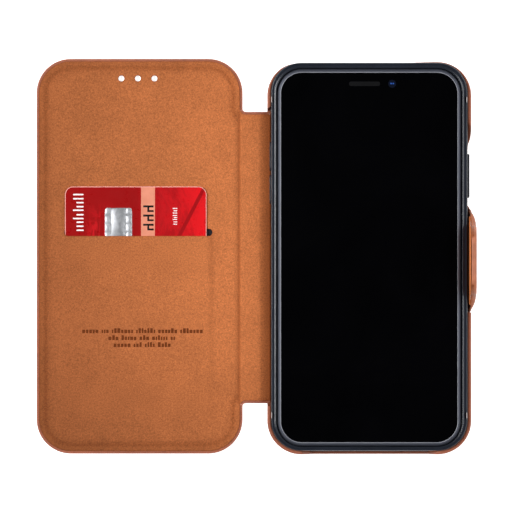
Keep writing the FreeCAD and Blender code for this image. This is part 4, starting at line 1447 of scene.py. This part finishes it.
def build_tab():
    """Leather outside and suede inside, each in a lower and an upper piece that meet at the split."""
    spots = (("lower", tab_lower_outline, tab_suede_lower), ("upper", tab_upper_outline, tab_upper_outline))
    lining_t = tab_lining_high.x - tab_lining_low.x
    for level, outline, suede_outline in spots:
        skin = sheet(
            "tab_leather_" + level, outline, [], 0.8, tab_outer_x, tab_leather_thickness, leather,
            place=tab_place, edge_r=0.35, both=True,
        )
        lining = sheet(
            "tab_suede_" + level, suede_outline, [], 0.8, tab_suede_x, lining_t, suede,
            place=tab_place, edge_r=0.12, both=True,
        )
        paint_tab_edge(skin)
        for piece in (skin, lining):
            blend_tab(piece, level)
        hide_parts("tab_side_leather" if level == "lower" else "tab_flap_leather")
        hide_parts("tab_side_lining" if level == "lower" else "tab_flap_lining")
    declare_cut(tab_upper_outline(0), 0.0)


def loop_area(loop):
    """Area of a closed outline, in square millimetres."""
    pairs = zip(loop, loop[1:] + loop[:1])
    return abs(sum(x0 * y1 - x1 * y0 for (x0, y0), (x1, y1) in pairs)) / 2


def declare_cut(loop, missing):
    """Work out the flat area of a piece of suede cut to an outline, less the area of its holes; the area is
    not kept.
    """
    (loop_area(loop) - missing) * MM * MM


def paint_tab_edge(piece):
    """Give the tab leather's cut edge the painted edge's material."""
    piece.data.materials.append(tab_edge)
    for face in piece.data.polygons:
        if abs(face.normal.x) < 0.85:
            face.material_index = 1


def blend_tab(piece, level):
    """Bake a tab piece's placement into its mesh, alike for either level."""
    if level == "lower":
        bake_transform(piece)
    else:
        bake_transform(piece)


# ---- Phone details and the CAD pieces that stay -------------------------------------------


GLASS_CORNER_R = 7.9


def build_display_gasket():
    """Fine ring round the front glass, light grey as a painted highlight along the glass edge."""
    profile = [(-0.3, -0.1), (-0.3, 0.0), (-0.22, 0.06), (-0.1, 0.06), (-0.03, 0.01), (-0.03, -0.1)]
    top = glass_high.z
    loops = []
    for inset, level in profile:
        loop = inset_rect(glass_low, glass_high, inset, GLASS_CORNER_R, 14)
        loops.append([(x, y, top + level) for x, y in loop])
    piece = ring_loft("phone_display_gasket", loops, gasket_painted_highlight)
    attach(piece, "phone")


def bevel(node, width_mm, segments=2):
    """Soften a CAD node's edges for the picture."""
    piece = frame["nodes"][node]
    modifier = piece.modifiers.new("soft edges", "BEVEL")
    modifier.width = width_mm * MM
    modifier.segments = segments
    modifier.limit_method = "ANGLE"
    modifier.angle_limit = math.radians(40)


def paint(material, *nodes):
    """Give CAD nodes a material."""
    for node in nodes:
        mesh = frame["nodes"][node].data
        mesh.materials.clear()
        mesh.materials.append(material)


# Light grey for the ring round the front glass: a gasket, its light colour a painted highlight on the glass
# edge.
gasket_painted_highlight = hard_plastic_look("display_gasket_painted_highlight", srgb(128, 130, 138), 0.4)


def dress_cad_nodes():
    """Materials and soft edges for the CAD nodes that stay in view."""
    paint(shell_plastic, "back_shell")
    paint(rubber, "power_button_cover", "volume_up_cover", "volume_down_cover")
    paint(microfibre, "back_liner")
    paint(trim_plastic, "camera_window_trim")
    paint(greyboard, "cover_board", "spine_stiffener")
    paint(core_leather, "tab_flap_board")
    paint(microfibre, "pocket_backing")
    paint(steel, "cover_steel_keeper", "cover_sleep_magnet", "tab_magnets")
    paint(phone_metal, "phone_body", "phone_camera_block", "phone_side_key", "phone_volume_keys")
    paint(phone_glass, "phone_front_glass", "phone_back_glass")
    paint(grille_mesh, "phone_earpiece_grille")
    paint(front_lens, "phone_front_camera")
    paint(lens_glass, "phone_camera_lenses")
    paint(flash_plastic, "phone_flash")
    bevel("phone_front_glass", 0.08)
    bevel("phone_back_glass", 0.15)
    bevel("back_shell", 0.1)
    bevel("camera_window_trim", 0.15)


# ---- Studio -------------------------------------------------------------------------------

CENTRE = Vector((-0.0431, 0.00057, 0.0))


def soft_light(name, zenith, azimuth, distance, width, height, power):
    """An area light aimed at the object, its height along Y.

    Angles are in degrees: zenith 0 is straight above, and azimuth 0 is +X.
    """
    data = bpy.data.lights.new(name, "AREA")
    data.shape = "RECTANGLE"
    data.size = width
    data.size_y = height
    data.energy = power
    lamp = bpy.data.objects.new(name, data)
    tilt, turn = math.radians(zenith), math.radians(azimuth)
    away = Vector((math.sin(tilt) * math.cos(turn), math.sin(tilt) * math.sin(turn), math.cos(tilt)))
    lamp.location = CENTRE + away * distance
    across = Vector((0, 1, 0)).cross(away).normalized()
    along = away.cross(across)
    lamp.rotation_euler = Matrix((across, along, away)).transposed().to_euler()
    lamp.visible_camera = False
    bpy.context.scene.collection.objects.link(lamp)


def build_world():
    """Pale grey near the horizon and dark overhead, so that glass seen from above stays black."""
    world = bpy.data.worlds.new("studio")
    bpy.context.scene.world = world
    world.use_nodes = True
    nodes, links = world.node_tree.nodes, world.node_tree.links
    background = nodes["Background"]
    coords = nodes.new("ShaderNodeTexCoord")
    split = nodes.new("ShaderNodeSeparateXYZ")
    ramp = nodes.new("ShaderNodeValToRGB")
    ramp.color_ramp.elements[0].position = 0.55
    ramp.color_ramp.elements[0].color = (0.38, 0.38, 0.38, 1)
    ramp.color_ramp.elements[1].position = 0.97
    ramp.color_ramp.elements[1].color = (0.004, 0.004, 0.004, 1)
    links.new(coords.outputs["Generated"], split.inputs["Vector"])
    links.new(split.outputs["Z"], ramp.inputs["Fac"])
    links.new(ramp.outputs["Color"], background.inputs["Color"])
    background.inputs["Strength"].default_value = 1.0


def build_floor():
    """White table under the object."""
    size = 900.0
    step = 60.0
    points, faces = [], []
    count = int(2 * size / step) + 1
    for row in range(count):
        for column in range(count):
            points.append((-size + column * step, -size + row * step, -0.03))
    for row in range(count - 1):
        faces += band(row * count, (row + 1) * count, count, closed=False)
    floor = make_mesh("studio_floor", points, faces, floor_look())


def build_camera():
    """Straight above the open case, from far away."""
    data = bpy.data.cameras.new("camera")
    data.sensor_width = 36.0
    data.lens = 1107.0
    data.clip_end = 50.0
    camera = bpy.data.objects.new("camera", data)
    camera.location = CENTRE + Vector((0, 0, 6.0))
    bpy.context.scene.collection.objects.link(camera)
    bpy.context.scene.camera = camera


spine_suede = build_spine_lining()
cover_suede = build_cover_lining()
build_cover_leather()
build_spine_leather()
build_back_leather()
build_frame()
build_slogan()
build_card()
build_card_marks()
build_chip()
build_tab()
build_display_gasket()
dress_cad_nodes()
build_world()
build_floor()
build_camera()
declare_cover_suede()
soft_light("key", zenith=34, azimuth=165, distance=1.3, width=0.22, height=0.6, power=14.0)
soft_light("strip_right", zenith=27, azimuth=0, distance=1.2, width=0.12, height=0.9, power=3.4)
soft_light("fill", zenith=44, azimuth=20, distance=1.4, width=0.7, height=0.9, power=4.5)
bpy.context.scene.view_settings.view_transform = "Standard"
